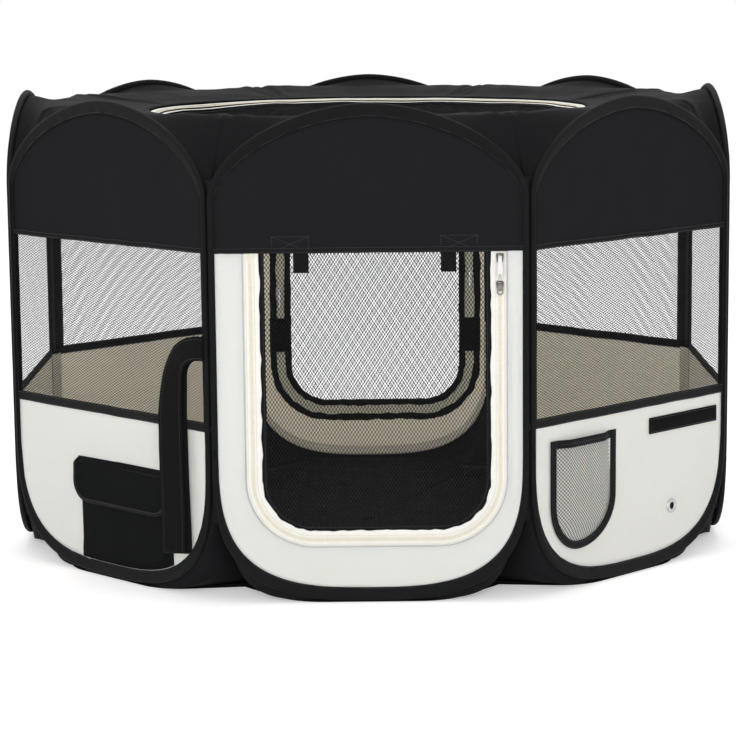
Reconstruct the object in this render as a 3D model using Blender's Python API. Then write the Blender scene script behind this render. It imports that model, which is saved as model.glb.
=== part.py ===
"""Foldable dog playpen: eight sprung ring panels sewn edge to edge, with a cloth floor and a zipped roof.

Metres, +Z up. The origin is on the ground under the middle of the pen, and the front panel faces -Y.
Each panel is drawn in its own frame: u runs along the panel, to the right as seen from outside, y points
into the pen from the middle of the panel's cloth, and z is the height above the ground.
"""

import math
from collections import namedtuple

import bmesh
import bpy
from mathutils import Matrix, Vector

# The eight panels, counter-clockwise from the front as seen from above
PANELS = ("front", "front_right", "right", "rear_right", "rear", "rear_left", "left", "front_left")
ROOT_PANEL = "rear"
DOOR_PANELS = ("front", "rear")

# Overall sizes
PEN_WIDTH = 0.90
PEN_HEIGHT = 0.58
GAP = 0.0003

# Cloth and netting
CLOTH = 0.0012
NET = 0.0008
NET_HEM_WIDTH = 0.009

# Ring panels: a folded sleeve round a sprung steel wire
SLEEVE_THICKNESS = 0.008
SLEEVE_SIDE_WIDTH = 0.008
SLEEVE_END_WIDTH = 0.016
SLEEVE_WALL = 0.0009
CLOTH_INSERT = 0.002
WIRE_DIAMETER = 0.003
FERRULE_WALL = 0.0006
FERRULE_LENGTH = 0.030
FOOT_HEIGHT = 0.168
FOOT_POWER = 3.0
HEAD_HEIGHT = 0.108
HEAD_POWER = 1.8
FOOT_STEPS = 7
HEAD_STEPS = 6
SLEEVE_OUTER_DEGREES = (90, 45, 0, -45, -90)
SLEEVE_INNER_DEGREES = (90, 30, -30, -90)
WIRE_SIDES = 6

# Seams across a panel: the black cloth reaches below the curved head, the cream cloth above the curved foot
TOP_CLOTH_SKIRT = 0.062
LOWER_CLOTH_RISE = 0.034

# Folding: at every second corner the panels close face to face, at the others they open out
FOLD_ANGLE = math.radians(125)

# Floor, corner gussets and roof
FLOOR_THICKNESS = 0.0012
FLOOR_CONTACT = 0.090
FLOOR_NOTCH = 0.085
GUSSET_THICKNESS = 0.001
GUSSET_LIP = 0.006
GUSSET_PEAK = 0.105
ROOF_THICKNESS = 0.001
ROOF_OPENING_DIAMETER = 0.570
ROOF_OPENING_HEIGHT = 0.553
ROOF_ROWS = 2
COVER_ZIP_WIDTH = 0.018
COVER_ZIP_THICKNESS = 0.002
COVER_SAG = 0.022
COVER_SIDES = 32
COVER_RINGS = 3

# Doors and their zips
DOORWAY_WIDTH = 0.301
DOORWAY_SHIFT = 0.007
DOORWAY_SILL = 0.067
DOORWAY_CORNER = 0.078
CORNER_STEPS = 6
ZIP_TAPE_WIDTH = 0.017
ZIP_COIL_INSET = 0.0075
ZIP_COIL_WIDTH = 0.005
ZIP_COIL_RISE = 0.0012
ZIP_COIL_SLOPE = 0.0004
DOOR_HEM_WIDTH = 0.005
DOOR_HEM_THICKNESS = 0.0016

# Zip sliders and their pulls
SLIDER_LENGTH = 0.011
SLIDER_WIDTH = 0.0085
SLIDER_PLATE = 0.0014
BAIL_SPAN = 0.0076
BAIL_BAR = 0.0009
BAIL_ROOT = 0.0005
BAIL_OFFSET = 0.002
EYE_WALL = 0.0005
EYE_CLEARANCE = 0.0002
EYE_STEPS = 8
EYE_OPENING = math.radians(40)
PULL_WIDTH = 0.0044
PULL_THICKNESS = 0.0008
UPPER_PULL_LENGTH = 0.020
LOWER_PULL_LENGTH = 0.012
UPPER_SLIDER_DROP = 0.008
LOWER_SLIDER_DROP = 0.040
REAR_LEFT_SLIDER_DROP = 0.125
REAR_RIGHT_SLIDER_DROP = 0.154

# Straps that tie a rolled door, sewn inside the front panel
ROLL_STRAP_WIDTH = 0.018
ROLL_STRAP_THICKNESS = 0.0014
ROLL_STRAP_SEWN_LENGTH = 0.042
ROLL_STRAP_TAIL = 0.024
ROLL_STRAP_INSET = 0.075

# Cargo pocket and flap on the front left panel
POCKET_WIDTH = 0.171
POCKET_SIDE_MARGIN = 0.060
POCKET_MOUTH = 0.140
POCKET_DEPTH = 0.008
POCKET_WALL = 0.001
POCKET_TAPER = 0.003
FLAP_OVERHANG = 0.003
FLAP_RISE = 0.006
FLAP_DROP = 0.050
FLAP_CORNER = 0.026
FLAP_THICKNESS = 0.0012

# Carry strap: a long loop of webbing sewn into the corner seam beside the pocket
STRAP_WIDTH = 0.028
STRAP_THICKNESS = 0.0018
STRAP_TOP = 0.300
STRAP_BOTTOM = 0.053
STRAP_BEND = 0.022
STRAP_REACH = 0.044
STRAP_LOOP_GAP = 0.009
STRAP_BEND_STEPS = 5
STRAP_FOLD_STEPS = 4

# Mesh pocket, hook-and-loop strip and eyelet on the front right panel
MESH_POCKET_WIDTH = 0.100
MESH_POCKET_SIDE_MARGIN = 0.034
MESH_POCKET_MOUTH = 0.183
MESH_POCKET_SHOULDER = 0.106
MESH_POCKET_BOTTOM = 0.057
MESH_POCKET_TIP_SHARE = 0.42
MESH_POCKET_DEPTH = 0.0085
MESH_POCKET_WALL = 0.001
MESH_POCKET_TAPER = 0.002
STRIP_LENGTH = 0.132
STRIP_WIDTH = 0.020
STRIP_THICKNESS = 0.0016
STRIP_SIDE_MARGIN = 0.012
STRIP_DROP = 0.016
EYELET_DIAMETER = 0.018
EYELET_HOLE = 0.008
EYELET_WALL = 0.0009
EYELET_FLANGE = 0.0007
EYELET_SIDE_MARGIN = 0.098
EYELET_HEIGHT = 0.072
EYELET_SIDES = 16

# Derived sizes of the octagon
TURN = 2 * math.pi / len(PANELS)
HALF_TURN = TURN / 2
SLEEVE_HALF_THICKNESS = SLEEVE_THICKNESS / 2
SIDE_HALF_WIDTH = SLEEVE_SIDE_WIDTH / 2
END_HALF_WIDTH = SLEEVE_END_WIDTH / 2
APOTHEM = PEN_WIDTH / 2 - SLEEVE_HALF_THICKNESS
CORNER_U = APOTHEM * math.tan(HALF_TURN)
CORNER_RADIUS = APOTHEM / math.cos(HALF_TURN)
SLEEVE_REACH = math.hypot(SIDE_HALF_WIDTH * math.cos(HALF_TURN), SLEEVE_HALF_THICKNESS * math.sin(HALF_TURN))
SLEEVE_SETBACK = (SLEEVE_REACH + GAP / 2) / math.cos(HALF_TURN)
RING_HALF_WIDTH = CORNER_U - SLEEVE_SETBACK + SIDE_HALF_WIDTH
RING_BASE = FLOOR_THICKNESS + GAP
FOOT_SPRING = RING_BASE + FOOT_HEIGHT
HEAD_SPRING = PEN_HEIGHT - HEAD_HEIGHT
TOP_SEAM = HEAD_SPRING - TOP_CLOTH_SKIRT
SILL_SEAM = FOOT_SPRING + LOWER_CLOTH_RISE
SIDE_INNER_U = RING_HALF_WIDTH - SLEEVE_SIDE_WIDTH
CLOTH_SIDE_U = SIDE_INNER_U + CLOTH_INSERT
CLOTH_FACE = CLOTH / 2

# Derived places of the corner hinges
CORNER_HALF_ANGLE = (math.pi - TURN) / 2
CLOSING_INSET = (SLEEVE_HALF_THICKNESS + GAP) / math.sin(CORNER_HALF_ANGLE)
OPENING_OUTSET = (
    max(SLEEVE_HALF_THICKNESS, SIDE_HALF_WIDTH)
    + GAP / 2
    - SLEEVE_SETBACK * math.sin(CORNER_HALF_ANGLE + FOLD_ANGLE / 2)
) / math.sin(FOLD_ANGLE / 2)

# Derived depths of the zip and its sliders, outwards from the middle of the cloth
COIL_FACE = CLOTH_FACE + ZIP_COIL_RISE
SLIDER_BACK = CLOTH_FACE + GAP
SLIDER_ROOF = COIL_FACE + GAP
SLIDER_FRONT = SLIDER_ROOF + SLIDER_PLATE
EYE_INNER_RADIUS = BAIL_BAR / math.sqrt(2) + EYE_CLEARANCE
EYE_OUTER_RADIUS = EYE_INNER_RADIUS + EYE_WALL
BAIL_AXIS = SLIDER_FRONT + GAP + EYE_OUTER_RADIUS
COIL_REACH = DOORWAY_WIDTH / 2 - ZIP_COIL_INSET

Station = namedtuple("Station", "u z nu nz")
Place = namedtuple("Place", "empty offset")
Shade = namedtuple("Shade", "colour roughness metallic")

BLACK_CLOTH = Shade((0.022, 0.022, 0.024), 0.75, 0.0)
BLACK_BINDING = Shade((0.030, 0.030, 0.033), 0.60, 0.0)
BLACK_NET = Shade((0.045, 0.045, 0.048), 0.70, 0.0)
BLACK_WEBBING = Shade((0.015, 0.015, 0.016), 0.80, 0.0)
CREAM_CLOTH = Shade((0.80, 0.78, 0.73), 0.75, 0.0)
CREAM_ZIP = Shade((0.86, 0.82, 0.68), 0.65, 0.0)
SPRING_STEEL = Shade((0.55, 0.56, 0.58), 0.30, 1.0)
ZIP_METAL = Shade((0.16, 0.16, 0.17), 0.35, 0.9)
EYELET_METAL = Shade((0.72, 0.72, 0.72), 0.25, 1.0)


# Scene and object helpers


def clear_scene():
    for thing in list(bpy.data.objects):
        bpy.data.objects.remove(thing)


def finish_of(name, shade):
    """A material of its own for one object."""
    material = bpy.data.materials.new(name)
    material.use_nodes = True
    shader = material.node_tree.nodes["Principled BSDF"]
    shader.inputs["Base Color"].default_value = (*shade.colour, 1)
    shader.inputs["Roughness"].default_value = shade.roughness
    shader.inputs["Metallic"].default_value = shade.metallic
    return material


def add_empty(name, location, turn):
    empty = bpy.data.objects.new(name, None)
    empty.location = location
    empty.rotation_euler = (0, 0, turn)
    bpy.context.scene.collection.objects.link(empty)
    return empty


def add_object(name, mesh, shade, place, origin=(0, 0, 0)):
    """Links a mesh drawn in the frame of place, with its origin moved to a point of that frame."""
    origin = Vector(origin)
    mesh.transform(Matrix.Translation(-origin))
    mesh.name = name
    mesh.materials.append(finish_of(name, shade))
    thing = bpy.data.objects.new(name, mesh)
    thing.parent = place.empty
    thing.location = place.offset + origin
    bpy.context.scene.collection.objects.link(thing)
    return thing


def boolean(thing, other, operation):
    """Joins or cuts with another object, which is then only a helper."""
    other.hide_render = True
    other.display_type = "WIRE"
    modifier = thing.modifiers.new(other.name, "BOOLEAN")
    modifier.operation = operation
    modifier.solver = "EXACT"
    modifier.object = other


def thicken(thing, thickness):
    """Gives an open sheet its thickness, half on each side."""
    modifier = thing.modifiers.new("Solidify", "SOLIDIFY")
    modifier.thickness = thickness
    modifier.offset = 0
    modifier.use_even_offset = True


def mesh_of(points, faces):
    """A mesh with its normals facing out, and smooth where it is round."""
    mesh = bpy.data.meshes.new("mesh")
    mesh.from_pydata([tuple(point) for point in points], [], faces)
    shape = bmesh.new()
    shape.from_mesh(mesh)
    bmesh.ops.recalc_face_normals(shape, faces=shape.faces)
    shape.to_mesh(mesh)
    shape.free()
    mesh.shade_smooth()
    mesh.set_sharp_from_angle(angle=math.radians(35))
    return mesh


def bands(loops, first, last, cyclic_loop=True):
    """Quads between loop number first and loop number last of a list of equal loops of points."""
    count = len(loops[0])
    steps = count if cyclic_loop else count - 1
    quads = []
    for k in range(steps):
        after = (k + 1) % count
        quads.append((first * count + k, first * count + after, last * count + after, last * count + k))
    return quads


def loft(loops, closed=False):
    """A solid through loops of points: a ring where closed, otherwise capped at its two ends."""
    count = len(loops[0])
    points = [point for loop in loops for point in loop]
    faces = []
    for row in range(len(loops) - 1):
        faces += bands(loops, row, row + 1)
    if closed:
        faces += bands(loops, len(loops) - 1, 0)
    else:
        faces.append(tuple(range(count)))
        faces.append(tuple(range((len(loops) - 1) * count, len(loops) * count)))
    return mesh_of(points, faces)


def sheet(rows, closed):
    """An open sheet through rows of points, which join up with themselves where closed."""
    points = [point for row in rows for point in row]
    faces = []
    for row in range(len(rows) - 1):
        faces += bands(rows, row, row + 1, cyclic_loop=closed)
    return mesh_of(points, faces)


def plate(outline, near, far):
    """A flat plate with an outline in u and z, between two values of y."""
    return loft([[(u, y, z) for u, z in outline] for y in (near, far)])


def box(low, high):
    outline = [(low[0], low[2]), (high[0], low[2]), (high[0], high[2]), (low[0], high[2])]
    return plate(outline, low[1], high[1])


def hemmed_plate(outline, hem_line, thin, thick):
    """A thin plate with a thicker hem: hem_line is the outline moved in by the width of the hem."""
    levels = ((hem_line, thin), (hem_line, thick), (outline, thick))
    front = [[(u, -depth / 2, z) for u, z in line] for line, depth in levels]
    back = [[(u, depth / 2, z) for u, z in line] for line, depth in reversed(levels)]
    return loft(front + back)


def height_on(line, u):
    """The height at u on a line of points that runs from left to right."""
    for (u0, z0), (u1, z1) in zip(line, line[1:]):
        if u0 <= u <= u1:
            return z0 + (z1 - z0) * (u - u0) / (u1 - u0)
    return line[0][1] if u < line[0][0] else line[-1][1]


# The octagon and its hinges


def panel_turn(index):
    """Heading of a panel: 0 for the front panel, whose u runs along +X."""
    return index * TURN


def outward(angle):
    return Vector((math.sin(angle), -math.cos(angle), 0))


def corner_axis(corner):
    """Foot of the hinge axis at a corner. Corner k lies between panel k and panel k + 1."""
    closes = corner % 2 == 1
    radius = CORNER_RADIUS - CLOSING_INSET if closes else CORNER_RADIUS + OPENING_OUTSET
    return outward(panel_turn(corner) + HALF_TURN) * radius


def hinge_corner(index):
    """The corner where a panel hangs on the one before it, counted from the root panel both ways."""
    root = PANELS.index(ROOT_PANEL)
    return index if 0 < index < root else (index - 1) % len(PANELS)


def panel_places():
    """For each panel an empty on its hinge axis, and where the panel's own frame lies from there."""
    places = {}
    for index, name in enumerate(PANELS):
        turn = panel_turn(index)
        middle = outward(turn) * APOTHEM
        if name == ROOT_PANEL:
            places[name] = Place(add_empty(f"{name}_panel_frame", middle, turn), Vector())
            continue
        axis = corner_axis(hinge_corner(index))
        offset = Matrix.Rotation(-turn, 3, "Z") @ (middle - axis)
        places[name] = Place(add_empty(f"{name}_panel_hinge", axis, turn), offset)
    return places


def in_world(index, u, y, z):
    """A point of a panel's frame, in the pen's frame."""
    turn = panel_turn(index)
    along = Vector((math.cos(turn), math.sin(turn), 0))
    return along * u + outward(turn) * (APOTHEM - y) + Vector((0, 0, z))


# The outline of a ring


def ring_end(spring, height, power, steps):
    """Stations from left to right round one curved end of the ring. A foot has a negative height."""
    stations = []
    for step in range(2 * steps + 1):
        angle = math.pi * (1 - step / (2 * steps))
        across, up = math.cos(angle), math.sin(angle)
        bulge = 2 / power
        u = math.copysign(abs(across) ** bulge, across) * RING_HALF_WIDTH
        z = spring + height * up**bulge
        normal = Vector(
            (
                math.copysign(abs(across) ** (2 - bulge), across) / RING_HALF_WIDTH,
                up ** (2 - bulge) / height,
            )
        ).normalized()
        stations.append(Station(u, z, normal.x, normal.y))
    return stations


FOOT = ring_end(FOOT_SPRING, -FOOT_HEIGHT, FOOT_POWER, FOOT_STEPS)
HEAD = ring_end(HEAD_SPRING, HEAD_HEIGHT, HEAD_POWER, HEAD_STEPS)


def half_width_at(station):
    """Half the width of the sleeve, which is narrow at the sides and wide at the head and foot."""
    return SIDE_HALF_WIDTH + (END_HALF_WIDTH - SIDE_HALF_WIDTH) * abs(station.nz)


def moved_in(station, depth):
    return (station.u - station.nu * depth, station.z - station.nz * depth)


def cloth_edge(stations):
    """The cut edge of the cloth, held in the slot of the sleeve."""
    return [moved_in(s, 2 * half_width_at(s) - CLOTH_INSERT) for s in stations]


def inner_edge(stations):
    """The edge of the sleeve on the side of the cloth."""
    return [moved_in(s, 2 * half_width_at(s)) for s in stations]


def sleeve_section(half_width):
    """Points of the sleeve's section: outwards in the plane of the ring, and through the panel."""
    slot = CLOTH_FACE + GAP
    section = []
    for wide, thick, degrees, sign in (
        (half_width, SLEEVE_HALF_THICKNESS, SLEEVE_OUTER_DEGREES, -1),
        (half_width - SLEEVE_WALL, SLEEVE_HALF_THICKNESS - SLEEVE_WALL, SLEEVE_INNER_DEGREES, 1),
    ):
        reach = math.pi - math.asin(slot / thick)
        angles = [reach, *(math.radians(turn) for turn in degrees), -reach]
        for angle in angles[:: -sign]:
            section.append((wide * math.cos(angle), thick * math.sin(angle)))
    return section


def section_at(station, depth, section):
    """A section set square to the ring at a station, its middle the given depth inside the outline."""
    u, z = moved_in(station, depth)
    return [(u + station.nu * a, b, z + station.nz * a) for a, b in section]


def add_sleeve(name, place):
    loops = [section_at(s, half_width_at(s), sleeve_section(half_width_at(s))) for s in FOOT + HEAD[::-1]]
    add_object(f"{name}_ring_sleeve", loft(loops, closed=True), BLACK_BINDING, place)


def circle(radius, sides):
    turns = [2 * math.pi * (k + 0.5) / sides for k in range(sides)]
    return [(radius * math.cos(turn), radius * math.sin(turn)) for turn in turns]


def add_wire(name, place):
    """The sprung wire, whose two ends meet in a crimped ferrule at the foot."""
    radius = WIRE_DIAMETER / 2
    half_step = math.radians(SLEEVE_INNER_DEGREES[1])
    outset = (SIDE_HALF_WIDTH - SLEEVE_WALL) * math.cos(half_step) - GAP - radius
    plain = circle(radius, WIRE_SIDES)
    thick = circle(radius + FERRULE_WALL, WIRE_SIDES)
    bottom = FOOT[FOOT_STEPS]
    depth = END_HALF_WIDTH - outset
    half = FERRULE_LENGTH / 2
    ends = (Station(-half, bottom.z, 0, -1), Station(half, bottom.z, 0, -1))
    loops = [section_at(ends[0], depth, plain), section_at(ends[0], depth, thick)]
    loops += [section_at(ends[1], depth, thick), section_at(ends[1], depth, plain)]
    ring = FOOT[FOOT_STEPS + 1 :] + HEAD[::-1] + FOOT[:FOOT_STEPS]
    loops += [section_at(s, half_width_at(s) - outset, plain) for s in ring]
    add_object(f"{name}_spring_wire", loft(loops, closed=True), SPRING_STEEL, place)


# The cloths of a panel


def add_top_cloth(name, place):
    bottom = TOP_SEAM + GAP / 2
    outline = [(-CLOTH_SIDE_U, bottom), *cloth_edge(HEAD), (CLOTH_SIDE_U, bottom)]
    add_object(f"{name}_top_cloth", plate(outline, -CLOTH_FACE, CLOTH_FACE), BLACK_CLOTH, place)


def rectangle(half_width, bottom, top):
    return [(-half_width, top), (-half_width, bottom), (half_width, bottom), (half_width, top)]


def add_mesh_window(name, place):
    bottom, top = SILL_SEAM + GAP / 2, TOP_SEAM - GAP / 2
    outline = rectangle(CLOTH_SIDE_U, bottom, top)
    hem_line = rectangle(CLOTH_SIDE_U - NET_HEM_WIDTH, bottom + NET_HEM_WIDTH, top - NET_HEM_WIDTH)
    add_object(f"{name}_mesh_window", hemmed_plate(outline, hem_line, NET, CLOTH), BLACK_NET, place)


def add_lower_cloth(name, place):
    top = SILL_SEAM - GAP / 2
    outline = [(-CLOTH_SIDE_U, top), *cloth_edge(FOOT), (CLOTH_SIDE_U, top)]
    return add_object(f"{name}_lower_cloth", plate(outline, -CLOTH_FACE, CLOTH_FACE), CREAM_CLOTH, place)


# Doors


def doorway_middle(panel):
    """Both doorways sit off the middle of their panels, towards +X."""
    return DOORWAY_SHIFT if panel == "front" else -DOORWAY_SHIFT


def doorway_line(panel, inset, top):
    """The U of the doorway, moved in by inset, from its top left round to its top right."""
    side = DOORWAY_WIDTH / 2 - inset
    bottom = DOORWAY_SILL + inset
    radius = DOORWAY_CORNER - inset
    line = [(-side, top)]
    for centre, start in ((radius - side, math.pi), (side - radius, 1.5 * math.pi)):
        for step in range(CORNER_STEPS + 1):
            angle = start + step * math.pi / 2 / CORNER_STEPS
            line.append((centre + radius * math.cos(angle), bottom + radius * (1 + math.sin(angle))))
    line.append((side, top))
    return [(u + doorway_middle(panel), z) for u, z in line]


def add_door_frame(name, place):
    top = TOP_SEAM - GAP / 2
    outside = [(-CLOTH_SIDE_U, top), *cloth_edge(FOOT), (CLOTH_SIDE_U, top)]
    outline = outside + doorway_line(name, 0, top)[::-1]
    add_object(f"{name}_door_frame", plate(outline, -CLOTH_FACE, CLOTH_FACE), CREAM_CLOTH, place)


def add_door_zip(name, place):
    """The U of zip tape with its coil, which stands proud outside."""
    near = ZIP_COIL_INSET - ZIP_COIL_WIDTH / 2
    far = ZIP_COIL_INSET + ZIP_COIL_WIDTH / 2
    section = [
        (GAP, -CLOTH_FACE),
        (near, -CLOTH_FACE),
        (near + ZIP_COIL_SLOPE, -COIL_FACE),
        (far - ZIP_COIL_SLOPE, -COIL_FACE),
        (far, -CLOTH_FACE),
        (ZIP_TAPE_WIDTH, -CLOTH_FACE),
        (ZIP_TAPE_WIDTH, CLOTH_FACE),
        (GAP, CLOTH_FACE),
    ]
    top = TOP_SEAM - GAP / 2
    lines = [(doorway_line(name, inset, top), y) for inset, y in section]
    loops = [[(line[k][0], y, line[k][1]) for line, y in lines] for k in range(len(lines[0][0]))]
    add_object(f"{name}_door_zip", loft(loops), CREAM_ZIP, place)


def add_mesh_door(name, place):
    """The netting door, whose origin is on the seam that it hangs from."""
    inset = ZIP_TAPE_WIDTH + GAP
    top = TOP_SEAM - GAP / 2
    outline = doorway_line(name, inset, top)
    hem_line = doorway_line(name, inset + DOOR_HEM_WIDTH, top - DOOR_HEM_WIDTH)
    mesh = hemmed_plate(outline, hem_line, NET, DOOR_HEM_THICKNESS)
    hinge = (0, -DOOR_HEM_THICKNESS / 2 - GAP, TOP_SEAM)
    add_object(f"{name}_mesh_door", mesh, BLACK_NET, place, hinge)


# Zip sliders and pulls


def add_slider(name, panel, place, side, drop):
    """A slider that straddles the coil, with a bail for its pull, at the left run (-1) or the right one (1)."""
    u, z = doorway_middle(panel) + side * COIL_REACH, TOP_SEAM - drop
    half, channel = SLIDER_WIDTH / 2, ZIP_COIL_WIDTH / 2 + GAP
    section = [
        (u - half, -SLIDER_BACK),
        (u - half, -SLIDER_FRONT),
        (u + half, -SLIDER_FRONT),
        (u + half, -SLIDER_BACK),
        (u + channel, -SLIDER_BACK),
        (u + channel, -SLIDER_ROOF),
        (u - channel, -SLIDER_ROOF),
        (u - channel, -SLIDER_BACK),
    ]
    ends = (z - SLIDER_LENGTH / 2, z + SLIDER_LENGTH / 2)
    block = loft([[(a, y, end) for a, y in section] for end in ends])
    body = add_object(name, block, ZIP_METAL, place, (u, 0, z))
    bar, span = BAIL_BAR / 2, BAIL_SPAN / 2
    foot, under, over = BAIL_ROOT - SLIDER_FRONT, bar - BAIL_AXIS, -bar - BAIL_AXIS
    arch = [
        (u - span, foot),
        (u - span, over),
        (u + span, over),
        (u + span, foot),
        (u + span - BAIL_BAR, foot),
        (u + span - BAIL_BAR, under),
        (u - span + BAIL_BAR, under),
        (u - span + BAIL_BAR, foot),
    ]
    middle = z + BAIL_OFFSET
    bail_mesh = loft([[(a, y, end) for a, y in arch] for end in (middle - bar, middle + bar)])
    bail = add_object(f"{name}_bail", bail_mesh, ZIP_METAL, place, (u, 0, z))
    boolean(body, bail, "UNION")


def add_pull(name, place, drop, length):
    """A pull whose rolled eye turns on the bail of a slider on the right run of the zip."""
    middle = TOP_SEAM - drop + BAIL_OFFSET
    half = PULL_THICKNESS / 2
    start = math.asin(half / EYE_OUTER_RADIUS)
    sweep = 2 * math.pi - EYE_OPENING - start
    turns = [start + sweep * step / EYE_STEPS for step in range(EYE_STEPS + 1)]
    down = -math.pi / 2
    outer = [(EYE_OUTER_RADIUS * math.cos(down + t), EYE_OUTER_RADIUS * math.sin(down + t)) for t in turns]
    inner = [(EYE_INNER_RADIUS * math.cos(down + t), EYE_INNER_RADIUS * math.sin(down + t)) for t in turns]
    outline = [*outer, *inner[::-1], (-half, -EYE_INNER_RADIUS), (-half, -length), (half, -length)]
    u = doorway_middle("front") + COIL_REACH
    sides = (u - PULL_WIDTH / 2, u + PULL_WIDTH / 2)
    loops = [[(across, -BAIL_AXIS + y, middle + z) for y, z in outline] for across in sides]
    add_object(name, loft(loops), ZIP_METAL, place, (u, -BAIL_AXIS, middle))


def add_roll_strap(name, place, side):
    """A strap sewn sideways on the black cloth inside the panel, with its tail hanging over the door."""
    near = DOOR_HEM_THICKNESS / 2 + GAP
    inner = doorway_middle("front") + side * (DOORWAY_WIDTH / 2 - ROLL_STRAP_INSET)
    tail = inner + side * ROLL_STRAP_WIDTH
    outer = inner + side * ROLL_STRAP_SEWN_LENGTH
    sewn_bottom = TOP_SEAM + GAP
    sewn_top = sewn_bottom + ROLL_STRAP_WIDTH
    outline = [
        (inner, sewn_top),
        (inner, sewn_bottom - ROLL_STRAP_TAIL),
        (tail, sewn_bottom - ROLL_STRAP_TAIL),
        (tail, sewn_bottom),
        (outer, sewn_bottom),
        (outer, sewn_top),
    ]
    add_object(name, plate(outline, near, near + ROLL_STRAP_THICKNESS), BLACK_WEBBING, place)


# Pockets, strap and small parts


def inset(line, distance):
    """An open line moved to its left by a distance, with its ends kept level."""
    normals = []
    for (u0, z0), (u1, z1) in zip(line, line[1:]):
        normals.append(Vector((z0 - z1, u1 - u0)).normalized())
    moved = []
    for k, (u, z) in enumerate(line):
        before, after = normals[max(k - 1, 0)], normals[min(k, len(normals) - 1)]
        shift = (before + after) * (distance / (1 + before.dot(after)))
        moved.append((u + shift.x, z + shift.y))
    return moved


def add_tray(name, place, outline, taper, depth, wall, shade):
    """A shallow pocket, open at its mouth and against the panel: its walls and front are one folded cloth."""
    left, right, top = outline[0][0], outline[-1][0], outline[0][1]
    middle = (left + right) / 2
    shrink = 1 - taper / ((right - left) / 2)
    front = [(middle + (u - middle) * shrink, top + (z - top) * shrink) for u, z in outline]
    back = -CLOTH_FACE - GAP
    levels = (
        (outline, back),
        (front, back - depth),
        (inset(front, wall), back - depth + wall),
        (inset(outline, wall), back),
    )
    points = [(u, y, z) for line, y in levels for u, z in line]
    count = len(outline)
    last = count - 1
    faces = []
    for row in range(4):
        for k in range(last):
            if row != 1:
                after = (row + 1) % 4
                faces.append((row * count + k, row * count + k + 1, after * count + k + 1, after * count + k))
    faces.append(tuple(range(count, 2 * count)))
    faces.append(tuple(range(2 * count, 3 * count)))
    faces.append((count, 2 * count - 1, 3 * count - 1, 2 * count))
    for k in (0, last):
        faces.append((k, count + k, 2 * count + k, 3 * count + k))
    return add_object(name, mesh_of(points, faces), shade, place)


def pocket_edges():
    right = SIDE_INNER_U - POCKET_SIDE_MARGIN
    return right - POCKET_WIDTH, right


def add_cargo_pocket(place):
    """A patch pocket that reaches down to the sleeve of the ring."""
    left, right = pocket_edges()
    line = [(u, z + GAP) for u, z in inner_edge(FOOT)]
    bottom = [(u, z) for u, z in line if left < u < right]
    outline = [(left, POCKET_MOUTH), (left, height_on(line, left)), *bottom]
    outline += [(right, height_on(line, right)), (right, POCKET_MOUTH)]
    add_tray("cargo_pocket", place, outline, POCKET_TAPER, POCKET_DEPTH, POCKET_WALL, BLACK_CLOTH)


def add_pocket_flap(place):
    """The flap, hinged on the panel just above the mouth, folded out and down over the pocket."""
    left, right = pocket_edges()
    left, right = left - FLAP_OVERHANG, right + FLAP_OVERHANG / 2
    root = -CLOTH_FACE - GAP - FLAP_THICKNESS / 2
    face = root - POCKET_DEPTH - GAP - FLAP_THICKNESS / 2
    top, shoulder = POCKET_MOUTH + FLAP_RISE, POCKET_MOUTH + GAP + FLAP_THICKNESS
    tip = shoulder - FLAP_DROP
    front = [(left, shoulder)]
    for centre, start in ((left + FLAP_CORNER, math.pi), (right - FLAP_CORNER, 1.5 * math.pi)):
        for step in range(CORNER_STEPS + 1):
            angle = start + step * math.pi / 2 / CORNER_STEPS
            front.append((centre + FLAP_CORNER * math.cos(angle), tip + FLAP_CORNER * (1 + math.sin(angle))))
    front.append((right, shoulder))
    points = [(left, root, top), (right, root, top)] + [(u, face, z) for u, z in front]
    faces = [(0, 1, len(points) - 1, 2), tuple(range(2, len(points)))]
    flap = add_object("pocket_flap", mesh_of(points, faces), BLACK_CLOTH, place, (0, root, top))
    thicken(flap, FLAP_THICKNESS)


def add_carry_strap(place):
    """A doubled loop of webbing: sideways out of the corner seam, round a bend, then hanging down."""
    end = RING_HALF_WIDTH - SIDE_HALF_WIDTH
    centre = end - STRAP_REACH + STRAP_BEND
    half = STRAP_WIDTH / 2
    path = [(end, STRAP_TOP, 0, 1)]
    for step in range(STRAP_BEND_STEPS + 1):
        angle = math.pi / 2 * (1 + step / STRAP_BEND_STEPS)
        across, up = math.cos(angle), math.sin(angle)
        path.append((centre + STRAP_BEND * across, STRAP_TOP - STRAP_BEND + STRAP_BEND * up, across, up))
    path.append((centre - STRAP_BEND, STRAP_BOTTOM + STRAP_LOOP_GAP, -1, 0))
    near = SLEEVE_HALF_THICKNESS + GAP
    spread = [0] + [STRAP_LOOP_GAP * min(1, step / 2) for step in range(1, len(path))]
    back = [(*point, near, 1) for point in path]
    fold = []
    radius = (STRAP_LOOP_GAP + STRAP_THICKNESS) / 2
    u, z, nu, nz = path[-1]
    for step in range(1, STRAP_FOLD_STEPS):
        angle = math.pi * step / STRAP_FOLD_STEPS
        fold.append((u, z, nu, nz, near, angle))
    loops = []
    for u, z, nu, nz, _, _ in back:
        loops.append(strap_section(u, z, nu, nz, half, near, near + STRAP_THICKNESS))
    for u, z, nu, nz, _, angle in fold:
        loops.append(fold_section(u, z, half, near + STRAP_THICKNESS / 2 + radius, radius, angle))
    for (u, z, nu, nz), gap in reversed(list(zip(path, spread))):
        outer = near + STRAP_THICKNESS + gap + (GAP if gap == 0 else 0)
        loops.append(strap_section(u, z, nu, nz, half, outer + STRAP_THICKNESS, outer))
    add_object("carry_strap", loft(loops), BLACK_WEBBING, place, (end, -near, STRAP_TOP + half))


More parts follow.
